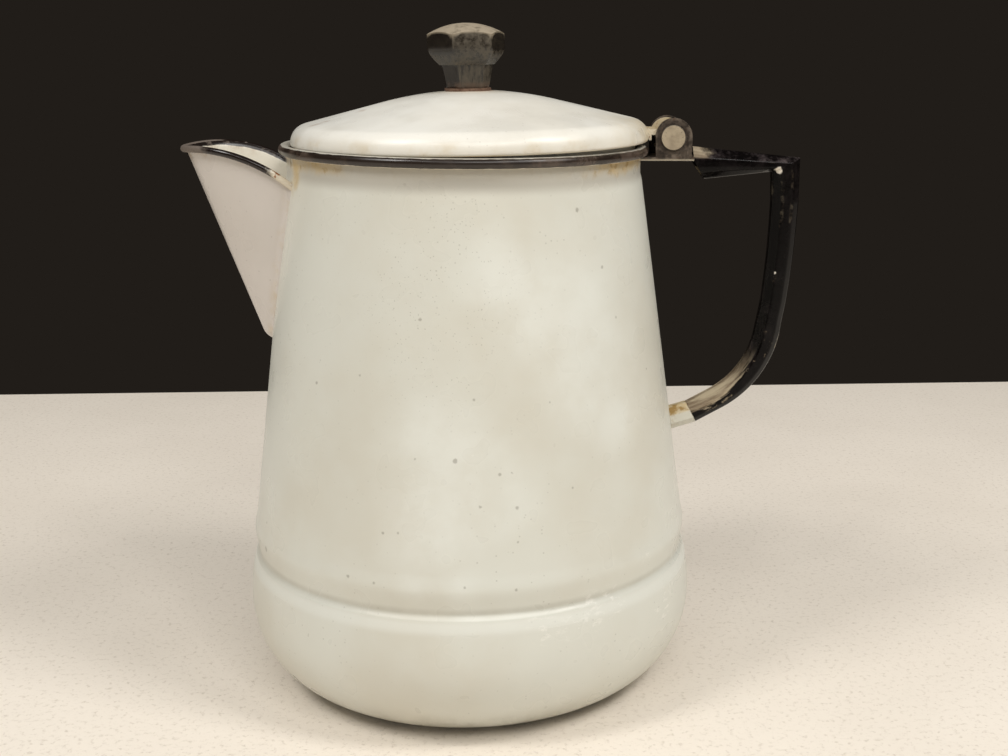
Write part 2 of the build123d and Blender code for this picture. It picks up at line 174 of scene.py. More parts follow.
def makeCamera(facts):
    yaw, pitch, roll = facts["yaw"], facts["pitch"], facts["roll"]
    ahead = Vector((math.sin(yaw) * math.cos(pitch), math.cos(yaw) * math.cos(pitch), -math.sin(pitch)))
    level = Vector((math.cos(yaw), -math.sin(yaw), 0))
    upright = level.cross(ahead)
    right = level * math.cos(roll) + upright * math.sin(roll)
    up = upright * math.cos(roll) - level * math.sin(roll)
    data = bpy.data.cameras.new("photoCamera")
    camera = bpy.data.objects.new("photoCamera", data)
    bpy.context.scene.collection.objects.link(camera)
    turn = Matrix((right, up, -ahead)).transposed().to_4x4()
    camera.matrix_world = Matrix.Translation(facts["place"]) @ turn
    width, height = facts["picture"]
    data.sensor_fit = "HORIZONTAL"
    data.sensor_width = 36.0
    data.lens = facts["focalPixels"] / width * 36.0
    data.shift_x = (width / 2 - facts["centrePixels"][0]) / width
    data.shift_y = (facts["centrePixels"][1] - height / 2) / width
    data.clip_start = 0.01
    bpy.context.scene.camera = camera


makeCamera(cameraFacts)
print("camera set")


# Body: one lathe skin for the bowl, the tapered wall and the rolled rim

body = {
    "wall": 1.2,
    "foot": 55.0,
    "bowl": (82.5, 31.8),
    "shoulder": (80.2, 48.6),
    "groove": (78.9, 50.8),
    "ridge": (79.85, 58.8),
    "stepRoundness": 0.7,
    "flankRoundness": 2.5,
    "swellRoundness": 1.8,
    "coneFoot": (78.75, 64.5),
    "coneTop": (61.9, 183.6),
    "neck": (61.3, 186.0),
    "neckLevels": (189.0, 191.0),
    "bead": (62.35, 193.45),
    "beadRadius": 1.65,
    "turnSteps": 160,
}


def coneRadius(height):
    top, foot = body["coneTop"], body["coneFoot"]
    return top[0] + (foot[0] - top[0]) * (top[1] - height) / (top[1] - foot[1])


def wallRadius(height):
    # outer radius of the upper body, straight neck included
    top, neck = body["coneTop"], body["neck"]
    if height <= top[1]:
        return coneRadius(height)
    share = min(1, (height - top[1]) / (neck[1] - top[1]))
    return top[0] + (neck[0] - top[0]) * share


def bodySide(inset):
    bowl, shoulder, groove, ridge = body["bowl"], body["shoulder"], body["groove"], body["ridge"]
    coneFoot, coneTop = body["coneFoot"], body["coneTop"]
    fall, rise = bowl[0] - shoulder[0], shoulder[1] - bowl[1]
    reach = (fall ** 2 + rise ** 2) / (2 * fall)
    lean = math.asin(rise / reach)
    slope = (coneFoot[0] - coneTop[0]) / (coneTop[1] - coneFoot[1])
    step, flank, swell = body["stepRoundness"], body["flankRoundness"], body["swellRoundness"]
    foot = (body["foot"], inset)
    bowlCurve = arcPoints((body["foot"], bowl[1]), bowl[0] - foot[0] - inset, bowl[1] - inset, 270, 360, 30)
    shoulderCurve = arcPoints((bowl[0] - reach, bowl[1]), reach - inset, reach - inset, 0,
                              math.degrees(lean), 12)
    overShoulder = (shoulder[0] - step * math.sin(lean), shoulder[1] + step * math.cos(lean))
    underCone = (coneFoot[0] + swell * slope, coneFoot[1] - swell)
    upper = (bezierPoints(shoulder, overShoulder, (groove[0], groove[1] - step), groove, 10) +
             bezierPoints(groove, (groove[0], groove[1] + flank),
                          (ridge[0], ridge[1] - flank), ridge, 12)[1:] +
             bezierPoints(ridge, (ridge[0], ridge[1] + swell), underCone, coneFoot, 8)[1:] +
             stretch(coneFoot, coneTop, 60) + [coneTop, body["neck"]])
    upper = [(x - inset, z) for x, z in upper]
    return [(0, inset)] + stretch((0, inset), foot, 14) + bowlCurve + shoulderCurve[1:] + upper[1:]


def makeBody():
    innerNeck = body["neck"][0] - body["wall"]
    bead, radius = body["bead"], body["beadRadius"]
    outer = bodySide(0) + [(body["neck"][0], level) for level in body["neckLevels"]]
    rim = (arcPoints(bead, radius, radius, 232, 450, 22) +
           arcPoints((innerNeck + radius, bead[1]), radius, radius, 90, 180, 8))
    bm = wire(outer + rim + list(reversed(bodySide(body["wall"]))))
    return newObject("potBody", turned(bm, body["turnSteps"]))


strainer = {
    "radius": 1.8,
    "pitch": 6.4,
    "rows": 6,
    "firstHeight": 140.0,
    "margin": 3.4,
    "punchDepth": 10.0,
}


def pierce(piece):
    # punches the straining holes behind the spout
    bm = bmesh.new()
    for row in range(strainer["rows"]):
        height = strainer["firstHeight"] + row * strainer["pitch"]
        length, halfWidth = spoutOval(height, 0)
        cover = halfWidth * math.sqrt(1 - ((coneRadius(height) + spout["centreX"]) / length) ** 2)
        count = 1 + int(2 * (cover - strainer["margin"]) / strainer["pitch"])
        for hole in range(count):
            across = (hole - (count - 1) / 2) * strainer["pitch"]
            place = Matrix.Translation(Vector((-coneRadius(height), across, height)) * mm)
            bmesh.ops.create_cone(bm, cap_ends=True, segments=20, radius1=strainer["radius"] * mm,
                                  radius2=strainer["radius"] * mm, depth=strainer["punchDepth"] * mm,
                                  matrix=place @ Matrix.Rotation(math.pi / 2, 4, "Y"))
    punches = newObject("punches", bm)
    cut = piece.modifiers.new("punch", "BOOLEAN")
    cut.object = punches
    cut.solver = "EXACT"
    pierced = bpy.data.meshes.new_from_object(piece.evaluated_get(bpy.context.evaluated_depsgraph_get()))
    piece.modifiers.clear()
    piece.data = pierced
    bpy.data.objects.remove(punches)


# Spout: an oval cone on the wall, cut along an arc at the lip

spout = {
    "centreX": -60.4,
    "footHeight": 126.8,
    "foot": (11.65, 10.8),
    "footRound": 3.4,
    "topHeight": 197.0,
    "top": (36.2, 24.2),
    "lipArc": (-88.5, 147.8),
    "lipArcRadius": 46.0,
    "wall": 1.2,
    "beadRadius": 1.15,
    "beadOffset": 0.7,
    "weld": 2.4,
    "weldFade": 9.0,
    "weldShare": 0.12,
    "rollShare": 0.06,
    "rollStart": 0.985,
    "rowCrowding": 1.6,
    "seamSink": 0.08,
}


def spoutOval(height, inset):
    # half length and half width of the oval at a height, drawn in at the rounded foot
    share = (height - spout["footHeight"]) / (spout["topHeight"] - spout["footHeight"])
    length, width = (low + (high - low) * share for low, high in zip(spout["foot"], spout["top"]))
    rounding = spout["footRound"] - max(0, inset)
    below = rounding - (height - spout["footHeight"] - max(0, inset))
    if below > 0:
        inset = inset + rounding - math.sqrt(max(0, rounding ** 2 - below ** 2))
    return length - inset, width - inset


def ovalPoint(turn, height, inset):
    length, width = spoutOval(height, inset)
    return Vector((spout["centreX"] - length * math.cos(turn), width * math.sin(turn), height))


def seamTurn(height, inset):
    # where the oval meets the round wall, as a turn from the nose
    length, width = spoutOval(height, inset)
    centre = spout["centreX"]
    square = length ** 2 - width ** 2
    linear = -2 * centre * length
    rest = centre ** 2 + width ** 2 - wallRadius(height) ** 2
    cosine = -2 * rest / (linear + math.sqrt(linear ** 2 - 4 * square * rest))
    return math.acos(max(-1, min(1, cosine)))


def lipHeight(x):
    return spout["lipArc"][1] + math.sqrt(spout["lipArcRadius"] ** 2 - (x - spout["lipArc"][0]) ** 2)


def footLevel(inset):
    # height at which the rounded foot comes out of the wall
    low, high = spout["footHeight"] + max(0, inset), spout["footHeight"] + spout["footRound"]
    for _ in range(30):
        middle = (low + high) / 2
        outside = spout["centreX"] - spoutOval(middle, inset)[0] < -wallRadius(middle)
        low, high = (low, middle) if outside else (middle, high)
    return high


def sheetPoint(across, up, inset, low, outward):
    # a point of the spout's sheet; the last columns curve onto the wall as a weld
    side = 2 * across - 1
    reach = min(1, abs(side) / (1 - spout["weldShare"]))
    curl = max(0, (abs(side) - 1 + spout["weldShare"]) / spout["weldShare"])
    height = low + 50 * up
    for _ in range(14):
        seam = seamTurn(height, inset)
        fade = min(1, (height - low) / spout["weldFade"])
        weld = spout["weld"] * fade
        length, width = spoutOval(height, inset)
        speed = math.hypot(length * math.sin(seam), width * math.cos(seam))
        turn = reach * max(0, seam - weld / speed)
        lip = lipHeight(ovalPoint(seam if curl else turn, height, inset).x)
        height = low + (lip - low) * up ** spout["rowCrowding"]
    if not curl:
        point = ovalPoint(turn, height, inset)
    else:
        corner = ovalPoint(seam, height, inset)
        radius = wallRadius(height) - spout["seamSink"]
        bearing = math.atan2(corner.y, corner.x) - outward * weld / radius
        ending = Vector((radius * math.cos(bearing), radius * math.sin(bearing), height))
        start = ovalPoint(turn, height, inset)
        point = start * (1 - curl) ** 2 + corner * (2 * curl * (1 - curl)) + ending * curl ** 2
    if side < 0:
        point.y = -point.y
    return point


def makeSpout():
    bm = bmesh.new()
    columns, rows = 96, 64
    wall, rollStart = spout["wall"], spout["rollStart"]
    outerLow, innerLow = footLevel(0), footLevel(wall)
    mappedGrid(bm, columns, rows, lambda across, up: sheetPoint(across, up, 0, outerLow, 1))

    def innerPoint(across, up):
        sheetShare = 1 - spout["rollShare"]
        if up <= sheetShare:
            return sheetPoint(across, up / sheetShare * rollStart, wall, innerLow, -1)
        roll = (up - sheetShare) / spout["rollShare"]
        start = sheetPoint(across, rollStart, wall, innerLow, -1)
        edge = sheetPoint(across, 1, wall, innerLow, -1)
        bead = sheetPoint(across, 1, -spout["beadOffset"], outerLow, 1)
        bead.z += spout["beadRadius"] - 0.15
        corner = Vector((edge.x, edge.y, bead.z - 0.2))
        return start * (1 - roll) ** 2 + corner * (2 * roll * (1 - roll)) + bead * roll ** 2

    mappedGrid(bm, columns, rows + 8, innerPoint)
    closeSkin(bm)
    return newObject("spoutSheet", bm)


def beadCentre(angle):
    height = spout["lipArc"][1] + spout["lipArcRadius"]
    for _ in range(12):
        height = lipHeight(ovalPoint(angle, height, -spout["beadOffset"]).x)
    return ovalPoint(angle, height, -spout["beadOffset"])


def beadEnd():
    # the bead runs into the middle of the wall
    angle = math.pi / 2
    for _ in range(40):
        centre = beadCentre(angle)
        gap = math.hypot(centre.x, centre.y) - wallRadius(centre.z) + spout["wall"] / 2
        angle += gap / spout["top"][0]
    return angle


def makeLipBead():
    bm = bmesh.new()
    last = beadEnd()

    def place(around, along):
        angle = last * (2 * along - 1)
        centre = beadCentre(angle)
        ahead = (beadCentre(angle + 0.01) - beadCentre(angle - 0.01)).normalized()
        sideways = Vector((0, 0, 1)).cross(ahead).normalized()
        turn = math.tau * around
        offset = sideways * math.cos(turn) + ahead.cross(sideways) * math.sin(turn)
        return centre + offset * spout["beadRadius"]

    mappedGrid(bm, 20, 140, place)
    bmesh.ops.remove_doubles(bm, verts=bm.verts[:], dist=2e-6)
    bmesh.ops.holes_fill(bm, edges=[edge for edge in bm.edges if edge.is_boundary], sides=0)
    bmesh.ops.recalc_face_normals(bm, faces=bm.faces[:])
    return newObject("spoutLip", bm)


# Lid: turned level, then set on the rim, a little back and tilted to the spout

lid = {
    "wall": 1.1,
    "radius": 62.0,
    "hemHeight": 195.4,
    "hemRadius": 1.2,
    "hemInner": 59.2,
    "shoulder": 6.4,
    "flankDegrees": 13.8,
    "crown": 30.0,
    "shift": 2.2,
    "tiltDegrees": 1.28,
    "turnSteps": 160,
}
lidPlace = (Matrix.Translation((lid["shift"] * mm, 0, lid["hemHeight"] * mm)) @
            Matrix.Rotation(-math.radians(lid["tiltDegrees"]), 4, "Y") @
            Matrix.Translation((0, 0, -lid["hemHeight"] * mm)))


def lidOutline(inset):
    lean = math.radians(lid["flankDegrees"])
    centre = (lid["radius"] - lid["shoulder"], lid["hemHeight"] + lid["hemRadius"])
    radius = lid["shoulder"] - inset
    shoulderCurve = arcPoints(centre, radius, radius, 0, 90 - lid["flankDegrees"], 16)
    fall = centre[0] + lid["shoulder"] * math.sin(lean) - lid["crown"]
    crownHeight = centre[1] + lid["shoulder"] * math.cos(lean) + fall * math.tan(lean)
    crownStart = (lid["crown"] - inset * math.sin(lean), crownHeight - inset * math.cos(lean))
    crownRadius = lid["crown"] / math.sin(lean) - inset
    crownCentre = (0, crownStart[1] - crownRadius * math.cos(lean))
    crownCurve = arcPoints(crownCentre, crownRadius, crownRadius, 90 - lid["flankDegrees"], 90, 16)
    return shoulderCurve + stretch(shoulderCurve[-1], crownStart, 14) + crownCurve


def onLid(name, bm):
    bmesh.ops.transform(bm, matrix=lidPlace, verts=bm.verts[:])
    return newObject(name, bm)


def makeLid():
    half, outer = lid["wall"] / 2, lid["hemRadius"]
    hem = (arcPoints((lid["hemInner"] + half, lid["hemHeight"] + half), half, half, 90, 270, 8) +
           arcPoints((lid["radius"] - outer, lid["hemHeight"] + outer), outer, outer, 270, 360, 8))
    bm = wire(list(reversed(lidOutline(lid["wall"]))) + hem + lidOutline(0)[1:])
    return onLid("lidDome", turned(bm, lid["turnSteps"]))


collar = {
    "radius": 57.2,
    "wall": 1.0,
    "foot": 187.3,
    "flangeInner": 51.0,
}


def makeCollar():
    # ring under the dome, with a flange that follows the dome's underside
    radius, wall = collar["radius"], collar["wall"]
    under = [point for point in lidOutline(lid["wall"]) if collar["flangeInner"] <= point[0] <= radius]
    lean = math.radians(lid["flankDegrees"])
    lower = [(x - wall * math.sin(lean), z - wall * math.cos(lean)) for x, z in under]
    edge = arcPoints((radius - wall / 2, collar["foot"] + wall / 2), wall / 2, wall / 2, 180, 360, 8)
    inner = [point for point in lower if point[0] < radius - 2 * wall]
    bm = wire(edge + under + list(reversed(inner)))
    bm.verts.ensure_lookup_table()
    bm.edges.new((bm.verts[-1], bm.verts[0]))
    return onLid("lidCollar", turned(bm, lid["turnSteps"]))


knob = {
    "offset": -0.6,
    "baseGap": 0.7,
    "topHeight": 235.2,
    "capRadius": 26.0,
    "turnDegrees": 9.5,
    "stemFoot": 7.7,
    "stemTop": 9.25,
    "undercut": ((9.8, 221.5), (11.4, 223.0), (13.4, 224.9), (13.7, 227.0)),
    "cornerRound": 1.1,
    "softEdge": 0.4,
    "stemRows": 8,
    "headRows": 4,
    "capRows": 12,
}


def hexRing(radius, height=None):
    # six flats with rounded corners; with no height the ring lies on the domed top
    turns = [math.radians(knob["turnDegrees"] + 60 * k) for k in range(6)]
    corners = [Vector((radius * math.cos(turn), radius * math.sin(turn), 0)) for turn in turns]
    points = roundedCorners(corners, min(knob["cornerRound"], radius / 4), (0.22, 0.36, 0.5, 0.64, 0.78))
    dome = knob["capRadius"]
    for point in points:
        onDome = knob["topHeight"] - dome + math.sqrt(dome ** 2 - point.length ** 2)
        point.z = onDome if height is None else height
    return points


def between(lower, upper, rows):
    return [[a.lerp(b, row / rows) for a, b in zip(lower, upper)] for row in range(rows)]


def makeKnob():
    # tapered stem, undercut head and a domed cap, ring by ring
    base = lidOutline(0)[-1][1] + knob["baseGap"]
    foot = hexRing(knob["stemFoot"], base)
    undercut = bezierPoints(*knob["undercut"], 8)
    widest, headHeight = undercut[-1]
    neck = hexRing(knob["stemTop"], undercut[0][1])
    rings = [[Vector((0, 0, base))] * len(foot)] + between(foot, neck, knob["stemRows"]) + [neck]
    rings += [hexRing(radius, height) for radius, height in undercut[:-1]]
    rings += between(hexRing(widest, headHeight), hexRing(widest), knob["headRows"])
    for row in range(knob["capRows"]):
        rings.append(hexRing(widest * (1 - row / knob["capRows"])))
    rings.append([Vector((0, 0, knob["topHeight"]))] * len(foot))
    bm = bmesh.new()
    ringSkin(bm, rings)
    bmesh.ops.remove_doubles(bm, verts=bm.verts[:], dist=1e-6)
    bmesh.ops.recalc_face_normals(bm, faces=bm.faces[:])
    creases = [edge for edge in bm.edges if edge.calc_face_angle() > math.radians(24)]
    roundEdges(bm, creases, knob["softEdge"], 3)
    bmesh.ops.translate(bm, verts=bm.verts[:], vec=(knob["offset"] * mm, 0, 0))
    return onLid("lidKnob", bm)


# Handle: eight-sided hollow form, drawn along its centre line

handle = {
    "wall": 1.0,
    "bevel": 0.31,
    "cornerRound": 0.9,
    "left": (80.2, 194.4, 183.1),
    "notch": ((80.2, 190.0), (84.6, 183.1)),
    "mitre": ((119.3, 190.6), (109.1, 185.7)),
    "topWidth": 9.8,
    "endWidth": 8.6,
    "grip": ((114.6, 175.5, 269.0, 10.0), (114.35, 166.6, 267.6, 9.8), (113.9, 157.5, 266.2, 9.6),
             (113.2, 148.2, 264.8, 9.4), (112.25, 139.0, 263.2, 9.2), (111.1, 132.2, 261.5, 9.15)),
    "bendStart": (110.4, 127.6),
    "bendRadius": 36.0,
    "bendHeadings": (260.5, 208.0),
    "bendSteps": 28,
    "bendDepth": 9.4,
    "endDepth": 8.5,
    "lowerRun": 10.3,
    "foldSupport": 0.9,
}


def octagonRing(centre, across, depth, width, inset):
    # eight flats with rounded corners, as points in space
    halfDepth, halfWidth = depth / 2 - inset, width / 2 - inset
    trim = inset * (2 - math.sqrt(2))
    bevelDepth, bevelWidth = handle["bevel"] * depth - trim, handle["bevel"] * width - trim
    quarter = [(halfDepth, halfWidth - bevelWidth), (halfDepth - bevelDepth, halfWidth)]
    corners = (quarter + [(-a, b) for a, b in reversed(quarter)] +
               [(-a, -b) for a, b in quarter] + [(a, -b) for a, b in reversed(quarter)])
    reach = handle["cornerRound"] * (0.6 if inset else 1)
    outward = Vector((across[0], 0, across[1])).normalized()
    return [Vector((centre[0], 0, centre[1])) + outward * point.x + Vector((0, point.y, 0))
            for point in roundedCorners([Vector(corner) for corner in corners], reach, (0.33, 0.5, 0.67))]


def headingRing(x, z, heading, depth, width, inset):
    turn = math.radians(heading)
    return octagonRing((x, z), (-math.sin(turn), math.cos(turn)), depth, width, inset)


def bendPoint(heading):
    first, turn = math.radians(handle["bendHeadings"][0]), math.radians(heading)
    radius = handle["bendRadius"]
    x = handle["bendStart"][0] + radius * (math.sin(first) - math.sin(turn))
    z = handle["bendStart"][1] - radius * (math.cos(first) - math.cos(turn))
    return x, z


def handleRings(inset):
    leftX, top, bottom = handle["left"]
    outer, inner = handle["mitre"]
    width = handle["topWidth"]
    across = (outer[0] - inner[0], outer[1] - inner[1])
    middle = ((outer[0] + inner[0]) / 2, (outer[1] + inner[1]) / 2)
    rings = [octagonRing((leftX, (top + bottom) / 2), (0, 1), top - bottom, width, inset),
             octagonRing(middle, across, math.hypot(*across), width, inset)]
    for x, z, heading, depth in handle["grip"]:
        rings.append(headingRing(x, z, heading, depth, width, inset))
    first, last = handle["bendHeadings"]
    for step in range(handle["bendSteps"] + 1):
        share = step / handle["bendSteps"]
        x, z = bendPoint(first + share * (last - first))
        rings.append(headingRing(x, z, first + share * (last - first),
                                 handle["bendDepth"] + share * (handle["endDepth"] - handle["bendDepth"]),
                                 width + share * (handle["endWidth"] - width), inset))
    x, z = bendPoint(last)
    turn, run = math.radians(last), handle["lowerRun"]
    rings.append(headingRing(x + run * math.cos(turn), z + run * math.sin(turn),
                             last, handle["endDepth"], handle["endWidth"], inset))
    (notchX, notchHeight), (footX, footHeight) = handle["notch"]
    for point in rings[0]:
        if point.z < notchHeight:
            point.x += (notchHeight - point.z) * (footX - notchX) / (notchHeight - footHeight)
    return rings


def supported(rings):
    # extra rings close to the mitre fold and along the long runs
    mixed = []
    folds = (1, 2)
    for i, (here, following) in enumerate(zip(rings, rings[1:])):
        span = (following[0] - here[0]).length
        shares = [k / 6 for k in range(6)] if i < 2 else [0, 0.5]
        if i in folds:
            shares.append(handle["foldSupport"] / span)
        if i + 1 in folds:
            shares.append(1 - handle["foldSupport"] / span)
        for share in sorted(shares):
            mixed.append([a.lerp(b, share) for a, b in zip(here, following)])
    return mixed + [rings[-1]]


def makeHandle():
    bm = bmesh.new()
    for inset in (0, handle["wall"]):
        ringSkin(bm, supported(handleRings(inset)))
    bmesh.ops.remove_doubles(bm, verts=bm.verts[:], dist=1e-6)
    for left in (True, False):
        ends = [edge for edge in bm.edges if edge.is_boundary and (edge.verts[0].co.z > 0.15) == left]
        bmesh.ops.bridge_loops(bm, edges=ends)
    bmesh.ops.recalc_face_normals(bm, faces=bm.faces[:])
    return newObject("potHandle", bm)


# Helpers for materials: each takes sockets or values, and returns the next socket

def rgb(red, green, blue):
    # a colour as it looks on screen, 0 to 255, turned into the shader's numbers
    shares = [part / 255 for part in (red, green, blue)]
    return tuple(share / 12.92 if share <= 0.04045 else ((share + 0.055) / 1.055) ** 2.4
                 for share in shares) + (1.0,)


def newMaterial(name):
    material = bpy.data.materials.new(name)
    material.use_nodes = True
    return material, material.node_tree.nodes.new("ShaderNodeTexCoord").outputs["Object"]


def facing(place):
    # which way the surface faces, from the node that gives the place
    return place.node.outputs["Normal"]


def addNode(kind, inputs, **settings):
    # the new node joins the tree that its inputs come from
    tree = next(value.id_data for value in inputs.values() if isinstance(value, bpy.types.NodeSocket))
    node = tree.nodes.new("ShaderNode" + kind)
    for key, value in settings.items():
        setattr(node, key, value)
    for key, value in inputs.items():
        if isinstance(value, bpy.types.NodeSocket):
            tree.links.new(value, node.inputs[key])
        else:
            node.inputs[key].default_value = value
    return node


def maths(operation, *values):
    return addNode("Math", dict(enumerate(values)), operation=operation).outputs[0]


def times(first, *others):
    for other in others:
        first = maths("MULTIPLY", first, other)
    return first


def plus(first, second):
    return maths("ADD", first, second)


def minus(first, second):
    return maths("SUBTRACT", first, second)


def most(first, second):
    return maths("MAXIMUM", first, second)


def vectors(operation, first, second):
    node = addNode("VectorMath", {0: first, 1: second}, operation=operation)
    return node.outputs["Value" if operation in ("DISTANCE", "DOT_PRODUCT") else "Vector"]


def scaled(place, x, y, z):
    return vectors("MULTIPLY", place, (x, y, z))


def ramped(value, low, high, bottom=0.0, top=1.0):
    # bottom below low, top above high, smooth between them
    return addNode("MapRange", {"Value": value, "From Min": low, "From Max": high,
                                "To Min": bottom, "To Max": top},
                   interpolation_type="SMOOTHSTEP").outputs["Result"]


def rise(value, limits, bottom=0.0, top=1.0):
    # a ramp between a pair of limits in mm
    return ramped(value, limits[0] * mm, limits[1] * mm, bottom, top)


def mixed(share, first, second):
    # a colour is a socket, or three numbers from 0 to 255
    first, second = (rgb(*tone) if isinstance(tone, tuple) else tone for tone in (first, second))
    return addNode("Mix", {0: share, 6: first, 7: second}, data_type="RGBA").outputs[2]


def noise(place, scale, detail=4.0, roughness=0.55):
    # scale is in features a metre
    return addNode("TexNoise", {"Vector": place, "Scale": scale, "Detail": detail,
                                "Roughness": roughness}).outputs[0]


def clouded(place, grain, low, high, bottom=0.0, top=1.0):
    # noise of a grain (scale, detail, roughness) cut into soft patches
    return ramped(noise(place, *grain), low, high, bottom, top)


def frayed(value, amount):
    # noise turned into a shift to both sides, for ragged edges; amount in mm
    return times(minus(value, 0.5), amount * mm)


def wobbled(place, scale, amount):
    # the place pushed about by noise, for ragged outlines; amount in mm
    push = addNode("TexNoise", {"Vector": place, "Scale": scale, "Detail": 4.0}).outputs["Color"]
    centred = vectors("SUBTRACT", push, (0.5, 0.5, 0.5))
    return vectors("ADD", place, scaled(centred, *(2 * amount * mm,) * 3))


def specks(place, scale, size, share):
    # round dots: size is their radius as a share of a cell, share how many cells have one
    cells = addNode("TexVoronoi", {"Vector": place, "Scale": scale})
    chance = along(cells.outputs["Color"], "X")
    near = ramped(cells.outputs["Distance"], size * 0.5, size, 1.0, 0.0)
    return times(near, maths("GREATER_THAN", chance, 1 - share))


def spots(place, points, softness):
    # marks at chosen points, each with a radius; softness is the width of their edge; all in mm
    nearest = None
    for x, y, z, radius in points:
        away = vectors("DISTANCE", place, (x * mm, y * mm, z * mm))
        outside = minus(away, radius * mm)
        nearest = outside if nearest is None else maths("MINIMUM", nearest, outside)
    return ramped(nearest, -softness * mm, softness * mm, 1.0, 0.0)


def along(vector, axis):
    return addNode("SeparateXYZ", {0: vector}).outputs[axis]


def fromAxis(place, x=0.0):
    # distance in metres from an upright axis at x, in mm
    return vectors("DISTANCE", scaled(place, 1, 1, 0), (x * mm, 0, 0))


def fromSidePoint(place, x, z):
    # distance in metres from a point of the side view, in mm
    return vectors("DISTANCE", scaled(place, 1, 0, 1), (x * mm, 0, z * mm))


def nearLevel(height, level, inner, outer):
    # 1 up to inner from a level, 0 past outer; all in mm
    return ramped(maths("ABSOLUTE", minus(height, level * mm)), inner * mm, outer * mm, 1, 0)


def insideOf(place, centre, weights=(1, 1, 1)):
    # 1 where the surface faces a centre, in mm: the inner side of a shell
    away = vectors("SUBTRACT", place, tuple(part * mm for part in centre))
    return maths("LESS_THAN", vectors("DOT_PRODUCT", scaled(away, *weights), facing(place)), 0.0)


def wearLayer(material):
    corners = material.node_tree.nodes.new("ShaderNodeAttribute")
    corners.attribute_name = "wear"
    return corners.outputs["Fac"]


def overlaid(tone, dull, *stains):
    # lays stains, painted shade and painted highlights over a finish: each is its share, its colour and,
    # where it is duller, its roughness
    for share, colour, *roughness in stains:
        tone = mixed(share, tone, colour)
        if roughness:
            dull = most(dull, times(share, *roughness))
    return tone, dull


def finishShader(material, colour, roughness, height, depth, **settings):
    # depth is the height of the relief in mm; settings go on the shader's own sockets
    shader = material.node_tree.nodes["Principled BSDF"]
    links = material.node_tree.links
    links.new(colour, shader.inputs["Base Color"])
    links.new(roughness, shader.inputs["Roughness"])
    relief = addNode("Bump", {"Height": height, "Distance": depth * mm})
    links.new(relief.outputs[0], shader.inputs["Normal"])
    for key, value in settings.items():
        shader.inputs[key].default_value = value
    return material


# White enamel: cloudy glaze with pin specks, stains and scuffs

enamel = {
    "white": (212, 212, 202),
    "cream": (206, 203, 190),
    "paleAndHighlight": (227, 229, 222),
    "speck": (96, 86, 72),
    "stain": (188, 164, 116),
    "rust": (140, 88, 46),
    "olive": (150, 120, 66),
    "grimeAndShade": (146, 141, 124),
    "inside": (224, 217, 200),
    "scuffAndHighlight": (238, 236, 228),
    "trim": (32, 24, 19),
    "trimWorn": (94, 79, 68),
    # grains are scale, detail and roughness of a noise; dots are scale, size and share
    "clouds": (13, 5),
    "mist": (47, 4, 0.5),
    "crowd": (21, 3),
    "peel": (420, 2),
    "shine": (60, 2),
    "pins": (520, 0.2, 0.3),
    "dots": (66, 0.032, 0.5),
    "gloss": (0.26, 0.36),
    "relief": 0.05,
}


def glaze(place, white, cream, seed):
    # the plain enamel: colour, roughness and relief before its wear
    shifted = vectors("ADD", place, (seed, seed * 0.7, seed * 0.3))
    tone = mixed(clouded(shifted, enamel["clouds"], 0.36, 0.62), cream, white)
    tone = mixed(clouded(shifted, enamel["mist"], 0.45, 0.75, 0, 0.45), tone, white)
    crowd = clouded(shifted, enamel["crowd"], 0.4, 0.66, 0.2, 1)
    pins = times(specks(shifted, *enamel["pins"]), crowd)
    dots = specks(wobbled(shifted, 500, 0.3), *enamel["dots"])
    marks = most(times(pins, 0.28), times(dots, 0.55))
    tone = mixed(marks, tone, enamel["speck"])
    relief = minus(times(noise(shifted, *enamel["peel"]), 0.25), marks)
    dull = clouded(shifted, enamel["shine"], 0.3, 0.7, *enamel["gloss"])
    return tone, dull, relief


bodyWear = {
    # marks by angle round the body in degrees, height and radius
    "patches": ((-65, 150, 20), (-56, 128, 18), (-80, 158, 12), (-47, 110, 9),
                (-98, 104, 17), (-100, 84, 16), (-86, 92, 14), (-103, 60, 4), (-94, 60, 4)),
    "specks": ((-94, 101.7, 0.8), (-83, 96.9, 0.5), (-112, 77.2, 0.5), (-108, 77.6, 0.4), (-79, 85.8, 0.5),
               (-88, 86.8, 0.4), (-64, 90, 0.4), (-80, 97.3, 0.3), (-104, 102, 0.3), (-89, 121, 0.4),
               (-69, 118.8, 0.3), (-135, 122, 0.5), (-120, 127, 0.4), (-48, 159.4, 0.5), (-44, 142.5, 0.4),
               (-103, 146, 0.5), (-108, 186.7, 0.5), (-56, 178.3, 0.7), (-155, 58.1, 1.0),
               (-121, 61.1, 0.5), (-114, 60.3, 0.4), (-92, 60.6, 0.4), (-80, 59, 0.5), (-79, 74.7, 0.4)),
    "scuffs": ((-74, 45, 4), (-67, 46, 5), (-60, 46.5, 5), (-53, 48, 4), (-41, 60, 2), (-34, 39.7, 5)),
    "lipStain": ((-156, 188.5, 4), (-158, 184, 2.6), (156, 188.5, 4)),
    "pinCluster": ((-98, 152, 24), (-93, 175, 14), (-101, 130, 14)),
    "shoulderLight": (46.6, 0.6, 3.4),
    "neckShade": (170, 165, 154),
    "trimReach": (0.6, 0.8),
    "trimFoot": (191.4, 191.8),
    "rimStain": (187.0, 190.5),
    "rimStainTop": (191.4, 192.2),
    "rimStainSides": (32, 50),
    "grooveShade": 2.2,
    "footGrimeAndShade": (2, 16),
}


def outerRadius(height):
    for (xa, za), (xb, zb) in zip(bodySide(0), bodySide(0)[1:]):
        if za <= height <= zb and zb > za:
            return xa + (xb - xa) * (height - za) / (zb - za)
    return body["neck"][0]


def onBody(marks):
    # marks round the body, turned into points in space
    points = []
    for degrees, height, radius in marks:
        turn, reach = math.radians(degrees), outerRadius(height)
        points.append((reach * math.cos(turn), reach * math.sin(turn), height, radius))
    return points


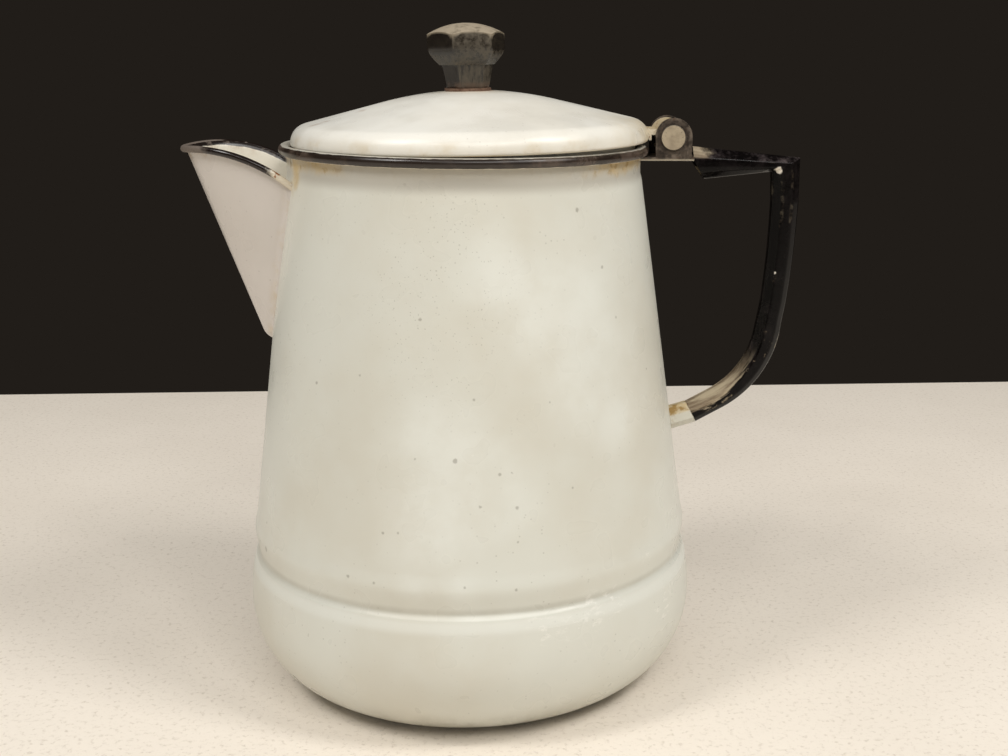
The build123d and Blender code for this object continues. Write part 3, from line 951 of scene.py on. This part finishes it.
def bodyEnamel():
    material, place = newMaterial("bodyEnamel")
    tone, dull, relief = glaze(place, enamel["white"], enamel["cream"], 0.0)
    height = along(place, "Z")
    ragged = wobbled(place, 60, 7)
    # paler patches of the glaze; the two small patches on the ridge are a painted highlight
    patches = spots(ragged, onBody(bodyWear["patches"]), 9)
    tone = mixed(times(patches, clouded(place, (45, 5, 0.6), 0.35, 0.65, 0.25, 0.6)), tone, enamel["paleAndHighlight"])
    cluster = spots(ragged, onBody(bodyWear["pinCluster"]), 8)
    fine = times(specks(wobbled(place, 300, 1.2), 900, 0.22, 0.5), times(cluster, 0.34))
    chosen = spots(wobbled(place, 700, 0.5), onBody(bodyWear["specks"]), 0.25)
    marks = most(fine, times(chosen, 0.42))
    tone = mixed(marks, tone, enamel["speck"])

    scratched = clouded(scaled(place, 1, 1, 2.2), (300, 6, 0.7), 0.52, 0.62)
    scuffed = times(spots(ragged, onBody(bodyWear["scuffs"]), 3), scratched)
    # painted shade in a band under the rim
    neckShadeBand = rise(height, (body["coneTop"][1] - 1, body["neck"][1] + 1), 0, 0.75)
    tone, dull = overlaid(tone, dull, (times(scuffed, 0.6), enamel["scuffAndHighlight"], 0.5),
                         (neckShadeBand, bodyWear["neckShade"]))

    # stains and rust that run down from the rim, strongest at the spout and at the hinge
    dripping = plus(height, frayed(noise(place, 170), 6))
    underRim = times(rise(dripping, bodyWear["rimStain"]), rise(height, bodyWear["rimStainTop"], 1, 0))
    sides = rise(maths("ABSOLUTE", along(place, "X")), bodyWear["rimStainSides"], 0.1, 1)
    underRim = times(underRim, sides)
    blotches = clouded(place, (120, 5, 0.65), 0.36, 0.62, 0.3, 0.85)
    lipStain = times(spots(ragged, onBody(bodyWear["lipStain"]), 2), blotches)
    rimRust = times(most(underRim, lipStain), clouded(place, (330,), 0.54, 0.64, 0, 0.7))
    tone, dull = overlaid(tone, dull, (times(underRim, blotches), enamel["stain"], 0.5),
                         (lipStain, enamel["stain"], 0.5), (rimRust, enamel["olive"], 0.7))

    # painted shade in the groove, a painted highlight on the shoulder below it, and grime with painted
    # shade at the foot
    ragging = noise(scaled(place, 1, 1, 0.4), 75, 6, 0.7)
    inGroove = nearLevel(height, body["groove"][1] + 0.4, 0, bodyWear["grooveShade"])
    grooveShade = times(inGroove, ramped(ragging, 0.3, 0.7, 0.24, 0.36))
    tone, dull = overlaid(tone, dull, (grooveShade, enamel["grimeAndShade"], 0.3))
    # painted highlight: the shoulder under the groove made paler
    shoulderHighlight = nearLevel(height, *bodyWear["shoulderLight"])
    tone = mixed(times(shoulderHighlight, 0.45), tone, enamel["paleAndHighlight"])
    dull = most(dull, times(shoulderHighlight, 0.62))
    # grime and painted shade, darker towards the foot
    footGrimeAndShade = times(rise(height, bodyWear["footGrimeAndShade"], 1, 0), ramped(ragging, 0.35, 0.65, 0.2, 0.8))
    tone, dull = overlaid(tone, dull, (footGrimeAndShade, enamel["grimeAndShade"], 0.45))

    # old tide lines, on the inside only
    tide = clouded(scaled(place, 1, 1, 3), (26, 5, 0.6), 0.42, 0.7)
    wet = ramped(height, 0.05, 0.16, 0.75, 0.15)
    within = mixed(times(tide, wet), enamel["inside"], enamel["stain"])
    tone = mixed(insideOf(place, (0, 0, 100)), tone, within)

    # black paint round the rolled rim
    reach = plus(minus(fromAxis(place), body["bead"][0] * mm), frayed(noise(place, 260, 3), 0.9))
    band = times(rise(reach, bodyWear["trimReach"]), rise(height, bodyWear["trimFoot"]))
    rubbed = clouded(place, (55, 5, 0.7), 0.42, 0.6, 0.05, 0.7)
    paint = mixed(rubbed, enamel["trim"], enamel["trimWorn"])
    paint = mixed(clouded(place, (260, 3, 0.6), 0.73, 0.77), paint, enamel["cream"])
    tone = mixed(band, tone, paint)
    dull = most(dull, times(band, times(rubbed, 0.8)))
    relief = minus(relief, most(marks, times(rimRust, 0.8)))
    return finishShader(material, tone, dull, relief, enamel["relief"])


lipWear = {
    "dark": (26, 18, 15),
    "worn": (108, 97, 88),
    "cream": (214, 204, 184),
    "noseEnd": (-89.0, -84.0),
    "wallEnd": (-65.5, -63.0),
}
spoutWear = {
    "outside": (205, 198, 191),
    "outsideDark": (198, 191, 183),
    "inside": (220, 214, 199),
    "lipRust": ((-59.5, -23.5, 191.5, 2.6), (-59.5, 23.5, 191.5, 2.6), (-62, -24.3, 187, 1.6)),
    "lipShadow": (172, 150, 122),
    "lipShadowDepth": (6, 1),
    "weldReach": (0.2, 3.4),
    "edgeBand": (0.8, 0.5),
}


def spoutEnamel():
    material, place = newMaterial("spoutEnamel")
    tone, dull, relief = glaze(place, spoutWear["outside"], spoutWear["outsideDark"], 0.31)
    height = along(place, "Z")
    inner = insideOf(place, (spout["centreX"], 0, 0), (1, 1, 0))
    tone = mixed(inner, tone, spoutWear["inside"])
    slope = (coneRadius(100) - coneRadius(180)) / 80
    wallAt = plus(times(height, -slope), coneRadius(0) * mm)
    offWall = minus(fromAxis(place), wallAt)
    weld = times(rise(offWall, spoutWear["weldReach"], 1, 0),
                 clouded(place, (190, 5, 0.65), 0.42, 0.7, 0.02, 0.4))
    ends = spots(wobbled(place, 300, 2.2), spoutWear["lipRust"], 1.3)
    # painted shade under the lip bead, mottled, darker towards the top of the spout
    deep, shallow = spoutWear["lipShadowDepth"]
    arcX, arcHeight = spout["lipArc"]
    underTop = minus(height, (arcHeight + spout["lipArcRadius"] - deep) * mm)
    lipShade = times(rise(underTop, (0, deep - shallow), 0, 0.7), clouded(place, (120, 5, 0.7), 0.42, 0.66))
    tone, dull = overlaid(tone, dull, (weld, enamel["stain"], 0.4), (times(ends, 0.85), enamel["rust"], 0.7),
                         (lipShade, spoutWear["lipShadow"], 0.4))

    # the black edge goes over onto the inner side, and is worn away next to the wall
    wide, narrow = ((spout["lipArcRadius"] - reach) * mm for reach in spoutWear["edgeBand"])
    edge = ramped(plus(fromSidePoint(place, arcX, arcHeight), frayed(noise(place, 240), 0.8)), wide, narrow)
    edge = times(edge, rise(along(place, "X"), lipWear["wallEnd"], 1, 0))
    rubbed = clouded(place, (300, 5, 0.7), 0.5, 0.64, 0, 0.7)
    tone = mixed(edge, tone, mixed(rubbed, lipWear["dark"], lipWear["worn"]))
    dull = most(dull, times(edge, times(rubbed, 0.6)))
    return finishShader(material, tone, dull, relief, enamel["relief"])


def lipEnamel():
    material, place = newMaterial("lipEnamel")
    reach = plus(along(place, "X"), frayed(noise(place, 160, 5, 0.7), 9))
    nose = rise(reach, lipWear["noseEnd"], 0.9, 0.0)
    rubbed = most(nose, clouded(place, (420, 4, 0.7), 0.6, 0.68, 0, 0.7))
    paint = mixed(rubbed, lipWear["dark"], lipWear["worn"])
    bare = rise(reach, lipWear["wallEnd"])
    paint = mixed(bare, paint, lipWear["cream"])
    paint = mixed(times(bare, clouded(place, (380, 3), 0.54, 0.62)), paint, enamel["rust"])
    return finishShader(material, paint, ramped(rubbed, 0, 1, 0.22, 0.6), noise(place, 700, 3), 0.06)


lidWear = {
    "white": (229, 227, 219),
    "cream": (223, 219, 208),
    "greyed": (207, 203, 192),
    "yellowed": (205, 188, 152),
    "rustMarks": ((-49.5, -18.8, 202.2, 1.9), (-34.5, -12.5, 206.6, 1.7), (-46, -17, 203.2, 1.3),
                  (40, 43, 201, 1.5)),
    "hingeEnd": (40, 66),
    "knobRing": (7.4, 9.5),
    "knobHalo": (8, 17),
    "edgeDirt": (60.5, 62.2),
}


def lidEnamel():
    material, place = newMaterial("lidEnamel")
    tone, dull, relief = glaze(place, lidWear["white"], lidWear["cream"], 0.57)
    mottling = noise(place, 60, 4, 0.6)
    hingeEnd = times(rise(along(place, "X"), lidWear["hingeEnd"]), ramped(mottling, 0.34, 0.62, 0.2, 1))
    greying = clouded(place, (34, 5, 0.6), 0.46, 0.66, 0, 0.4)
    fromKnob = fromAxis(place, lid["shift"] + knob["offset"])
    ringRust = times(rise(fromKnob, lidWear["knobRing"], 1, 0), clouded(place, (240,), 0.35, 0.6))
    halo = times(rise(fromKnob, lidWear["knobHalo"], 0.45, 0), mottling)
    edge = rise(fromAxis(place, lid["shift"]), lidWear["edgeDirt"])
    edgeDirt = times(edge, clouded(place, (110, 4, 0.6), 0.45, 0.7, 0.1, 0.4))
    marks = spots(wobbled(place, 300, 2.0), lidWear["rustMarks"], 1.3)
    tone, dull = overlaid(tone, dull, (times(hingeEnd, 0.8), lidWear["yellowed"], 0.4),
                         (greying, lidWear["greyed"]), (times(ringRust, 0.8), enamel["rust"], 0.7),
                         (halo, enamel["stain"], 0.3), (edgeDirt, enamel["stain"], 0.45),
                         (times(marks, 0.3), enamel["rust"], 0.4))
    steam = clouded(place, (38, 5, 0.6), 0.42, 0.68, 0.1, 0.7)
    within = mixed(steam, enamel["inside"], enamel["stain"])
    tone = mixed(insideOf(place, (0, 0, 120)), tone, within)
    return finishShader(material, tone, dull, relief, enamel["relief"])


def collarEnamel():
    # white ring with rust along its lower edge
    material, place = newMaterial("collarEnamel")
    tone, dull, relief = glaze(place, enamel["inside"], enamel["cream"], 0.83)
    reach = plus(along(place, "Z"), frayed(noise(place, 130, 5, 0.7), 4))
    low = rise(reach, (collar["foot"] + 0.2, collar["foot"] + 1.6), 1, 0)
    tone, dull = overlaid(tone, dull, (times(low, 0.85), enamel["rust"], 0.7))
    return finishShader(material, tone, dull, relief, enamel["relief"])


def stubEnamel():
    # white below, tan and rusty on its upward faces
    material, place = newMaterial("stubEnamel")
    tone, dull, relief = glaze(place, enamel["white"], enamel["cream"], 0.11)
    upward = along(facing(place), "Z")
    top = times(ramped(upward, -0.1, 0.8), clouded(place, (260, 5, 0.7), 0.3, 0.6, 0.35, 0.85))
    rust = times(ramped(upward, -0.3, 0.7, 0.2, 1), clouded(place, (300,), 0.5, 0.66))
    tone, dull = overlaid(tone, dull, (top, enamel["stain"], 0.5), (rust, enamel["olive"], 0.7))
    return finishShader(material, tone, dull, relief, 0.08)


metal = {
    "earDark": (44, 37, 31),
    "earWornAndHighlight": (118, 106, 94),
    "earDust": (80, 69, 58),
    "edge": (196, 188, 172),
    "lowEdge": (190.3, 190.9),
    "strapWorn": (190, 174, 144),
    "strapCurl": (72.2, 75),
    "strapSideHighlight": (6.9, 7.3),
    "pinPlace": (71.9, 198.0),
    "pinFace": (172, 158, 134),
    "pinDark": (116, 102, 84),
    "pinEdgeShadow": (4.0, 4.25),
    "earRimHighlight": (5.2, 6.2),
    "rusty": (84, 58, 42),
    "rustPink": (114, 88, 70),
    "zinc": (150, 146, 138),
}


def strapEnamel():
    # yellowed enamel, worn to bright metal over the pin, with a painted highlight along its side edges
    material, place = newMaterial("strapEnamel")
    tone, dull, relief = glaze(place, metal["strapWorn"], lidWear["yellowed"], 0.47)
    mottling = clouded(place, (300, 5, 0.7), 0.5, 0.66, 0, 0.8)
    curl = times(rise(along(place, "X"), metal["strapCurl"]), clouded(place, (210,), 0.3, 0.5, 0.7, 1))
    # painted highlight along the side edges
    side = rise(maths("ABSOLUTE", along(place, "Y")), metal["strapSideHighlight"])
    tone, dull = overlaid(tone, dull, (mottling, enamel["stain"], 0.5), (curl, metal["earDust"], 0.45),
                         (times(side, 0.25), enamel["scuffAndHighlight"]),
                         (clouded(place, (450, 4, 0.7), 0.6, 0.67), enamel["rust"], 0.7))
    return finishShader(material, tone, dull, relief, 0.08)


def bracketSteel():
    material, place = newMaterial("bracketSteel")
    patchy = clouded(place, (260, 6, 0.7), 0.4, 0.64)
    tone = mixed(patchy, metal["earDark"], metal["earDust"])
    scratches = noise(scaled(place, 1, 1, 0.15), 900, 4, 0.7)
    # painted highlight in a ring near the ears' rounded rims, mixed with the lighter scratches
    earRimHighlight = times(rise(fromSidePoint(place, *metal["pinPlace"]), metal["earRimHighlight"]),
                 clouded(place, (300,), 0.46, 0.62, 0, 0.7))
    tone = mixed(most(ramped(scratches, 0.6, 0.66, 0, 0.85), earRimHighlight), tone, metal["earWornAndHighlight"])
    tone = mixed(clouded(place, (380, 4, 0.65), 0.6, 0.68, 0, 0.5), tone, metal["rusty"])
    tone = mixed(rise(along(place, "Z"), metal["lowEdge"], 0.85, 0), tone, metal["edge"])
    return finishShader(material, tone, ramped(patchy, 0, 1, 0.38, 0.66), scratches, 0.1, Metallic=0.35)


def pinSteel():
    # flat rivet head, its lacquer gone dull and yellow, with a painted shadow round its edge
    material, place = newMaterial("pinSteel")
    patchy = clouded(place, (300, 5, 0.6), 0.3, 0.6, 0.5, 1)
    tone = mixed(patchy, metal["pinDark"], metal["pinFace"])
    pits = specks(place, 1500, 0.3, 0.3)
    tone = mixed(times(pits, 0.6), tone, metal["earDark"])
    # painted shadow round the edge of the head
    ring = rise(fromSidePoint(place, *metal["pinPlace"]), metal["pinEdgeShadow"], 0, 0.9)
    tone = mixed(ring, tone, metal["earDark"])
    return finishShader(material, tone, ramped(patchy, 0, 1, 0.55, 0.4), pits, 0.06, Metallic=0.2)


def rustySteel():
    material, place = newMaterial("rustySteel")
    patchy = clouded(place, (420, 6, 0.72), 0.38, 0.62)
    tone = mixed(patchy, metal["rusty"], metal["rustPink"])
    return finishShader(material, tone, ramped(patchy, 0, 1, 0.85, 0.6), noise(place, 900), 0.12)


def screwSteel():
    material, place = newMaterial("screwSteel")
    patchy = clouded(place, (500, 5, 0.7), 0.5, 0.7, 0, 0.8)
    tone = mixed(patchy, metal["zinc"], metal["rusty"])
    return finishShader(material, tone, ramped(patchy, 0, 0.8, 0.3, 0.75), noise(place, 1100, 3), 0.05,
                        Metallic=0.9)


handleWear = {
    "black": (9, 7, 7),
    "cloud": (82, 73, 73),
    "bare": (188, 174, 148),
    "brown": (92, 70, 52),
    "chips": ((110.9, -4.4, 186.4, 1.3), (111.4, -4.6, 150, 0.4)),
    "chip": (228, 220, 206),
    "shine": 0.11,
    "endPatch": (81.5, 87.0),
    "endHeight": (170, 180),
    "bendRub": (37.2, 33.4),
    "bendRubSpan": (84, 106),
    "bendRubTop": (106, 123),
    "lowRun": (120, 150),
}


def handleEnamel():
    material, place = newMaterial("handleEnamel")
    across, height = along(place, "X"), along(place, "Z")
    upward = along(facing(place), "Z")
    cloud = times(clouded(place, (70, 6, 0.7), 0.46, 0.66), ramped(upward, -0.1, 0.75, 0.05, 0.8))
    cloud = times(cloud, clouded(scaled(place, 1, 1, 0.35), (420, 5, 0.7), 0.35, 0.62, 0.25, 1))
    tone = mixed(cloud, handleWear["black"], handleWear["cloud"])

    # rubbed bare along the inside of the lower bend, dragged out along the handle
    first = math.radians(handle["bendHeadings"][0])
    centreX = handle["bendStart"][0] + handle["bendRadius"] * math.sin(first)
    centreHeight = handle["bendStart"][1] - handle["bendRadius"] * math.cos(first)
    fromBend = fromSidePoint(place, centreX, centreHeight)
    turn = maths("ARCTAN2", minus(across, centreX * mm), minus(height, centreHeight * mm))
    dragged = addNode("CombineXYZ", {0: fromBend, 1: along(place, "Y"), 2: times(turn, 5 * mm)}).outputs[0]
    streaks = noise(dragged, 420, 5, 0.62)
    wide, narrow = handleWear["bendRub"]
    edge = rise(across, handleWear["bendRubSpan"], wide * mm, narrow * mm)
    inward = minus(plus(edge, frayed(streaks, 9)), fromBend)
    bend = times(ramped(inward, -0.5 * mm, 0.5 * mm), rise(height, handleWear["bendRubTop"], 1, 0))

    # bare at the end by the hinge, along the corners and where it is chipped
    ragEnd = plus(across, frayed(noise(place, 150, 5, 0.65), 15))
    end = times(rise(ragEnd, handleWear["endPatch"], 1, 0), ramped(upward, 0.2, 0.6),
                rise(height, handleWear["endHeight"]))
    worn = most(times(bend, 0.9), times(end, 0.9))
    edges = times(ramped(wearLayer(material), 0.35, 0.95), clouded(place, (120, 6, 0.75), 0.56, 0.64))
    worn = most(worn, times(edges, rise(height, handleWear["lowRun"], 0.6, 0.08)))
    bareTone = mixed(ramped(streaks, 0.32, 0.64, 0.15, 0.95), handleWear["brown"], handleWear["bare"])
    tone = mixed(worn, tone, bareTone)
    tone = mixed(spots(wobbled(place, 500, 0.8), handleWear["chips"], 0.3), tone, handleWear["chip"])
    dull = most(ramped(cloud, 0, 0.6, 0.12, 0.5), times(worn, 0.6))
    relief = minus(times(noise(place, 500, 2), 0.3), worn)
    return finishShader(material, tone, dull, relief, 0.12, **{"Specular IOR Level": handleWear["shine"]})


knobWear = {
    "black": (24, 20, 17),
    "streak": (84, 76, 63),
    "dust": (158, 145, 124),
    "foot": (96, 74, 58),
    "darkReflectionSide": (-0.77, -0.64, 0.0),
    "darkSide": (0.94, -0.35, 0.0),
    "brim": (229.5, 231.5),
    "headFoot": (221.5, 222.5),
    "upperHead": (225.5, 227),
    "footTop": (214.9, 216.5),
}


def knobBlack():
    material, place = newMaterial("knobBlack")
    height = along(place, "Z")
    streaks = noise(scaled(place, 1, 1, 0.12), 900, 4, 0.65)
    patchy = noise(place, 150, 5, 0.68)
    dragged = ramped(streaks, 0.36, 0.6, 0.15, 1)
    mottled = clouded(place, (520, 5, 0.7), 0.36, 0.62, 0.25, 1)
    onHead = rise(height, knobWear["headFoot"])
    dustAndShade = addNode("Mix", {0: onHead, 2: dragged, 3: mottled}).outputs[0]
    dustAndShade = times(dustAndShade, ramped(patchy, 0.3, 0.62, 0.5, 1))
    # painted dark reflection: less dust on the facets facing the left front; painted shade: less dust on
    # the head's facets facing the right front
    leftFacetReflection = ramped(vectors("DOT_PRODUCT", facing(place), knobWear["darkReflectionSide"]), 0.75, 0.95)
    dustAndShade = times(dustAndShade, ramped(leftFacetReflection, 0, 1, 1, 0.12))
    shaded = ramped(vectors("DOT_PRODUCT", facing(place), knobWear["darkSide"]), 0.75, 0.95)
    shaded = times(shaded, rise(height, knobWear["upperHead"]))
    dustAndShade = times(dustAndShade, ramped(shaded, 0, 1, 1, 0.2))
    tone = mixed(dustAndShade, knobWear["black"], knobWear["streak"])
    upward = along(facing(place), "Z")
    cap = times(ramped(upward, 0.5, 0.85), clouded(place, (330, 6, 0.7), 0.3, 0.52, 0.45, 1))
    brim = times(ramped(wearLayer(material), 0.4, 1.0), rise(height, knobWear["brim"]))
    tone = mixed(most(times(cap, 0.9), times(brim, 0.6)), tone, knobWear["dust"])
    foot = times(rise(height, knobWear["footTop"], 0.6, 0), ramped(patchy, 0.3, 0.6))
    tone = mixed(foot, tone, knobWear["foot"])
    dull = most(ramped(dustAndShade, 0, 1, 0.2, 0.55), times(cap, 0.7))
    return finishShader(material, tone, dull, streaks, 0.05)


def dress(piece, material):
    piece.data.materials.clear()
    piece.data.materials.append(material)


def markWear(piece):
    # how sharply each point stands out: corners lose their paint first
    bm = bmesh.new()
    bm.from_mesh(piece.data)
    layer = bm.verts.layers.float.new("wear")
    for vert in bm.verts:
        folds = [edge.calc_face_angle_signed() for edge in vert.link_edges if edge.is_manifold]
        vert[layer] = min(1, max(folds, default=0) / 0.2)
    bm.to_mesh(piece.data)
    bm.free()


def fromNode(name, node, width, segments=3):
    # a piece with the CAD node's shape and softened edges, its flat faces kept flat
    piece = newObject(name, softened(node, width, segments))
    piece.modifiers.new("flatFaces", "WEIGHTED_NORMAL").keep_sharp = True
    return piece


bodyPiece = makeBody()
pierce(bodyPiece)
finishPiece(bodyPiece, "pot", ["base_bowl", "body_shell"])
spoutPiece = finishPiece(makeSpout(), "pot", ["spout"])
lipPiece = finishPiece(makeLipBead(), "pot", [])
print("body and spout made")

handlePiece = finishPiece(makeHandle(), "pot", ["handle"])
stubPiece = finishPiece(fromNode("handleStub", "handle_stub", 0.5), "pot", ["handle_stub"])
bracketPiece = finishPiece(fromNode("hingeEars", "hinge_bracket", 0.3), "pot",
                           ["hinge_bracket"])
pinPiece = finishPiece(fromNode("hingeRivet", "hinge_pin", 0.4), "pot", ["hinge_pin"])
print("handle and hinge made")

domePiece = finishPiece(makeLid(), "lid", ["lid_shell"])
collarPiece = finishPiece(makeCollar(), "lid", ["lid_collar"])
tabPiece = finishPiece(fromNode("lidStrap", "lid_hinge_tab", 0.35), "lid",
                       ["lid_hinge_tab"])
knobPiece = finishPiece(makeKnob(), "lid", ["knob"])
print("lid and knob made")

markWear(handlePiece)
markWear(knobPiece)
for piece, material in ((bodyPiece, bodyEnamel()), (spoutPiece, spoutEnamel()), (lipPiece, lipEnamel()),
                        (handlePiece, handleEnamel()), (stubPiece, stubEnamel()),
                        (bracketPiece, bracketSteel()), (pinPiece, pinSteel()), (domePiece, lidEnamel()),
                        (collarPiece, collarEnamel()), (tabPiece, strapEnamel()), (knobPiece, knobBlack())):
    dress(piece, material)
for node, material in (("knob_washer", rustySteel()), ("knob_screw", screwSteel()),
                       ("screw_washer", screwSteel())):
    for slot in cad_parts[node].material_slots:
        slot.material = material
print("materials laid")


# Stage: pale table, dark plain room behind it, soft light from above the camera

stage = {
    "table": (1.6, -2.0, 0.415),
    "tableTone": (240, 231, 218),
    "tableSpeck": (208, 197, 182),
    "room": (33, 29, 25),
    "skyShare": 0.34,
    "skyTone": (1.0, 0.98, 0.945),
    "lampTone": (1.0, 0.98, 0.95),
}
lamps = {
    # place, aim, width, length, power in watts
    "left": ((-0.72, -0.42, 1.15), (0, 0, 0.1), 0.3, 0.4, 6.5),
    "right": ((0.75, -0.42, 1.1), (0, 0, 0.1), 0.3, 0.4, 7.0),
    "front": ((0.2, -1.0, 1.1), (0, 0, 0.1), 0.8, 0.4, 5.0),
    "glintLeft": ((-0.5, -1.0, 1.25), (0, 0, 0.15), 0.1, 0.1, 1.0),
    "glintRight": ((0.52, -0.95, 1.25), (0, 0, 0.15), 0.1, 0.1, 1.0),
}


def tableMaterial():
    material, place = newMaterial("table")
    tone = mixed(times(clouded(place, (9,), 0.35, 0.7), 0.16), stage["tableTone"], stage["tableSpeck"])
    grain = clouded(place, (480, 5, 0.7), 0.52, 0.7, 0, 0.75)
    tone = mixed(grain, tone, stage["tableSpeck"])
    return finishShader(material, tone, ramped(grain, 0, 1, 0.55, 0.8), grain, 0.1)


def makeTable():
    halfWidth, near, far = stage["table"]
    bm = bmesh.new()
    made = bmesh.ops.create_grid(bm, x_segments=8, y_segments=8, size=1.0)
    for vert in made["verts"]:
        vert.co.x *= halfWidth
        vert.co.y = near + (vert.co.y + 1) / 2 * (far - near)
    table = newObject("table", bm)
    dress(table, tableMaterial())


def makeRoom():
    # the room is dark to look at, and lights the pot as a pale one would
    world = bpy.data.worlds.new("room")
    bpy.context.scene.world = world
    world.use_nodes = True
    nodes = world.node_tree.nodes
    light = nodes["Background"]
    light.inputs["Color"].default_value = stage["skyTone"] + (1,)
    light.inputs["Strength"].default_value = stage["skyShare"]
    dark = nodes.new("ShaderNodeBackground")
    dark.inputs["Color"].default_value = rgb(*stage["room"])
    rays = nodes.new("ShaderNodeLightPath")
    seen = most(rays.outputs["Is Camera Ray"], rays.outputs["Is Glossy Ray"])
    choice = addNode("MixShader", {0: seen, 1: light.outputs[0], 2: dark.outputs[0]})
    world.node_tree.links.new(choice.outputs[0], nodes["World Output"].inputs[0])


def makeLamps():
    for name, (place, aim, width, length, power) in lamps.items():
        lamp = bpy.data.lights.new(name, "AREA")
        lamp.shape = "RECTANGLE"
        lamp.size, lamp.size_y = width, length
        lamp.energy = power
        lamp.color = stage["lampTone"]
        holder = bpy.data.objects.new(name, lamp)
        holder.location = place
        holder.rotation_euler = (Vector(aim) - Vector(place)).to_track_quat("-Z", "Y").to_euler()
        bpy.context.scene.collection.objects.link(holder)


makeTable()
makeRoom()
makeLamps()
bpy.context.scene.view_settings.view_transform = "Standard"
print("stage and lamps set")
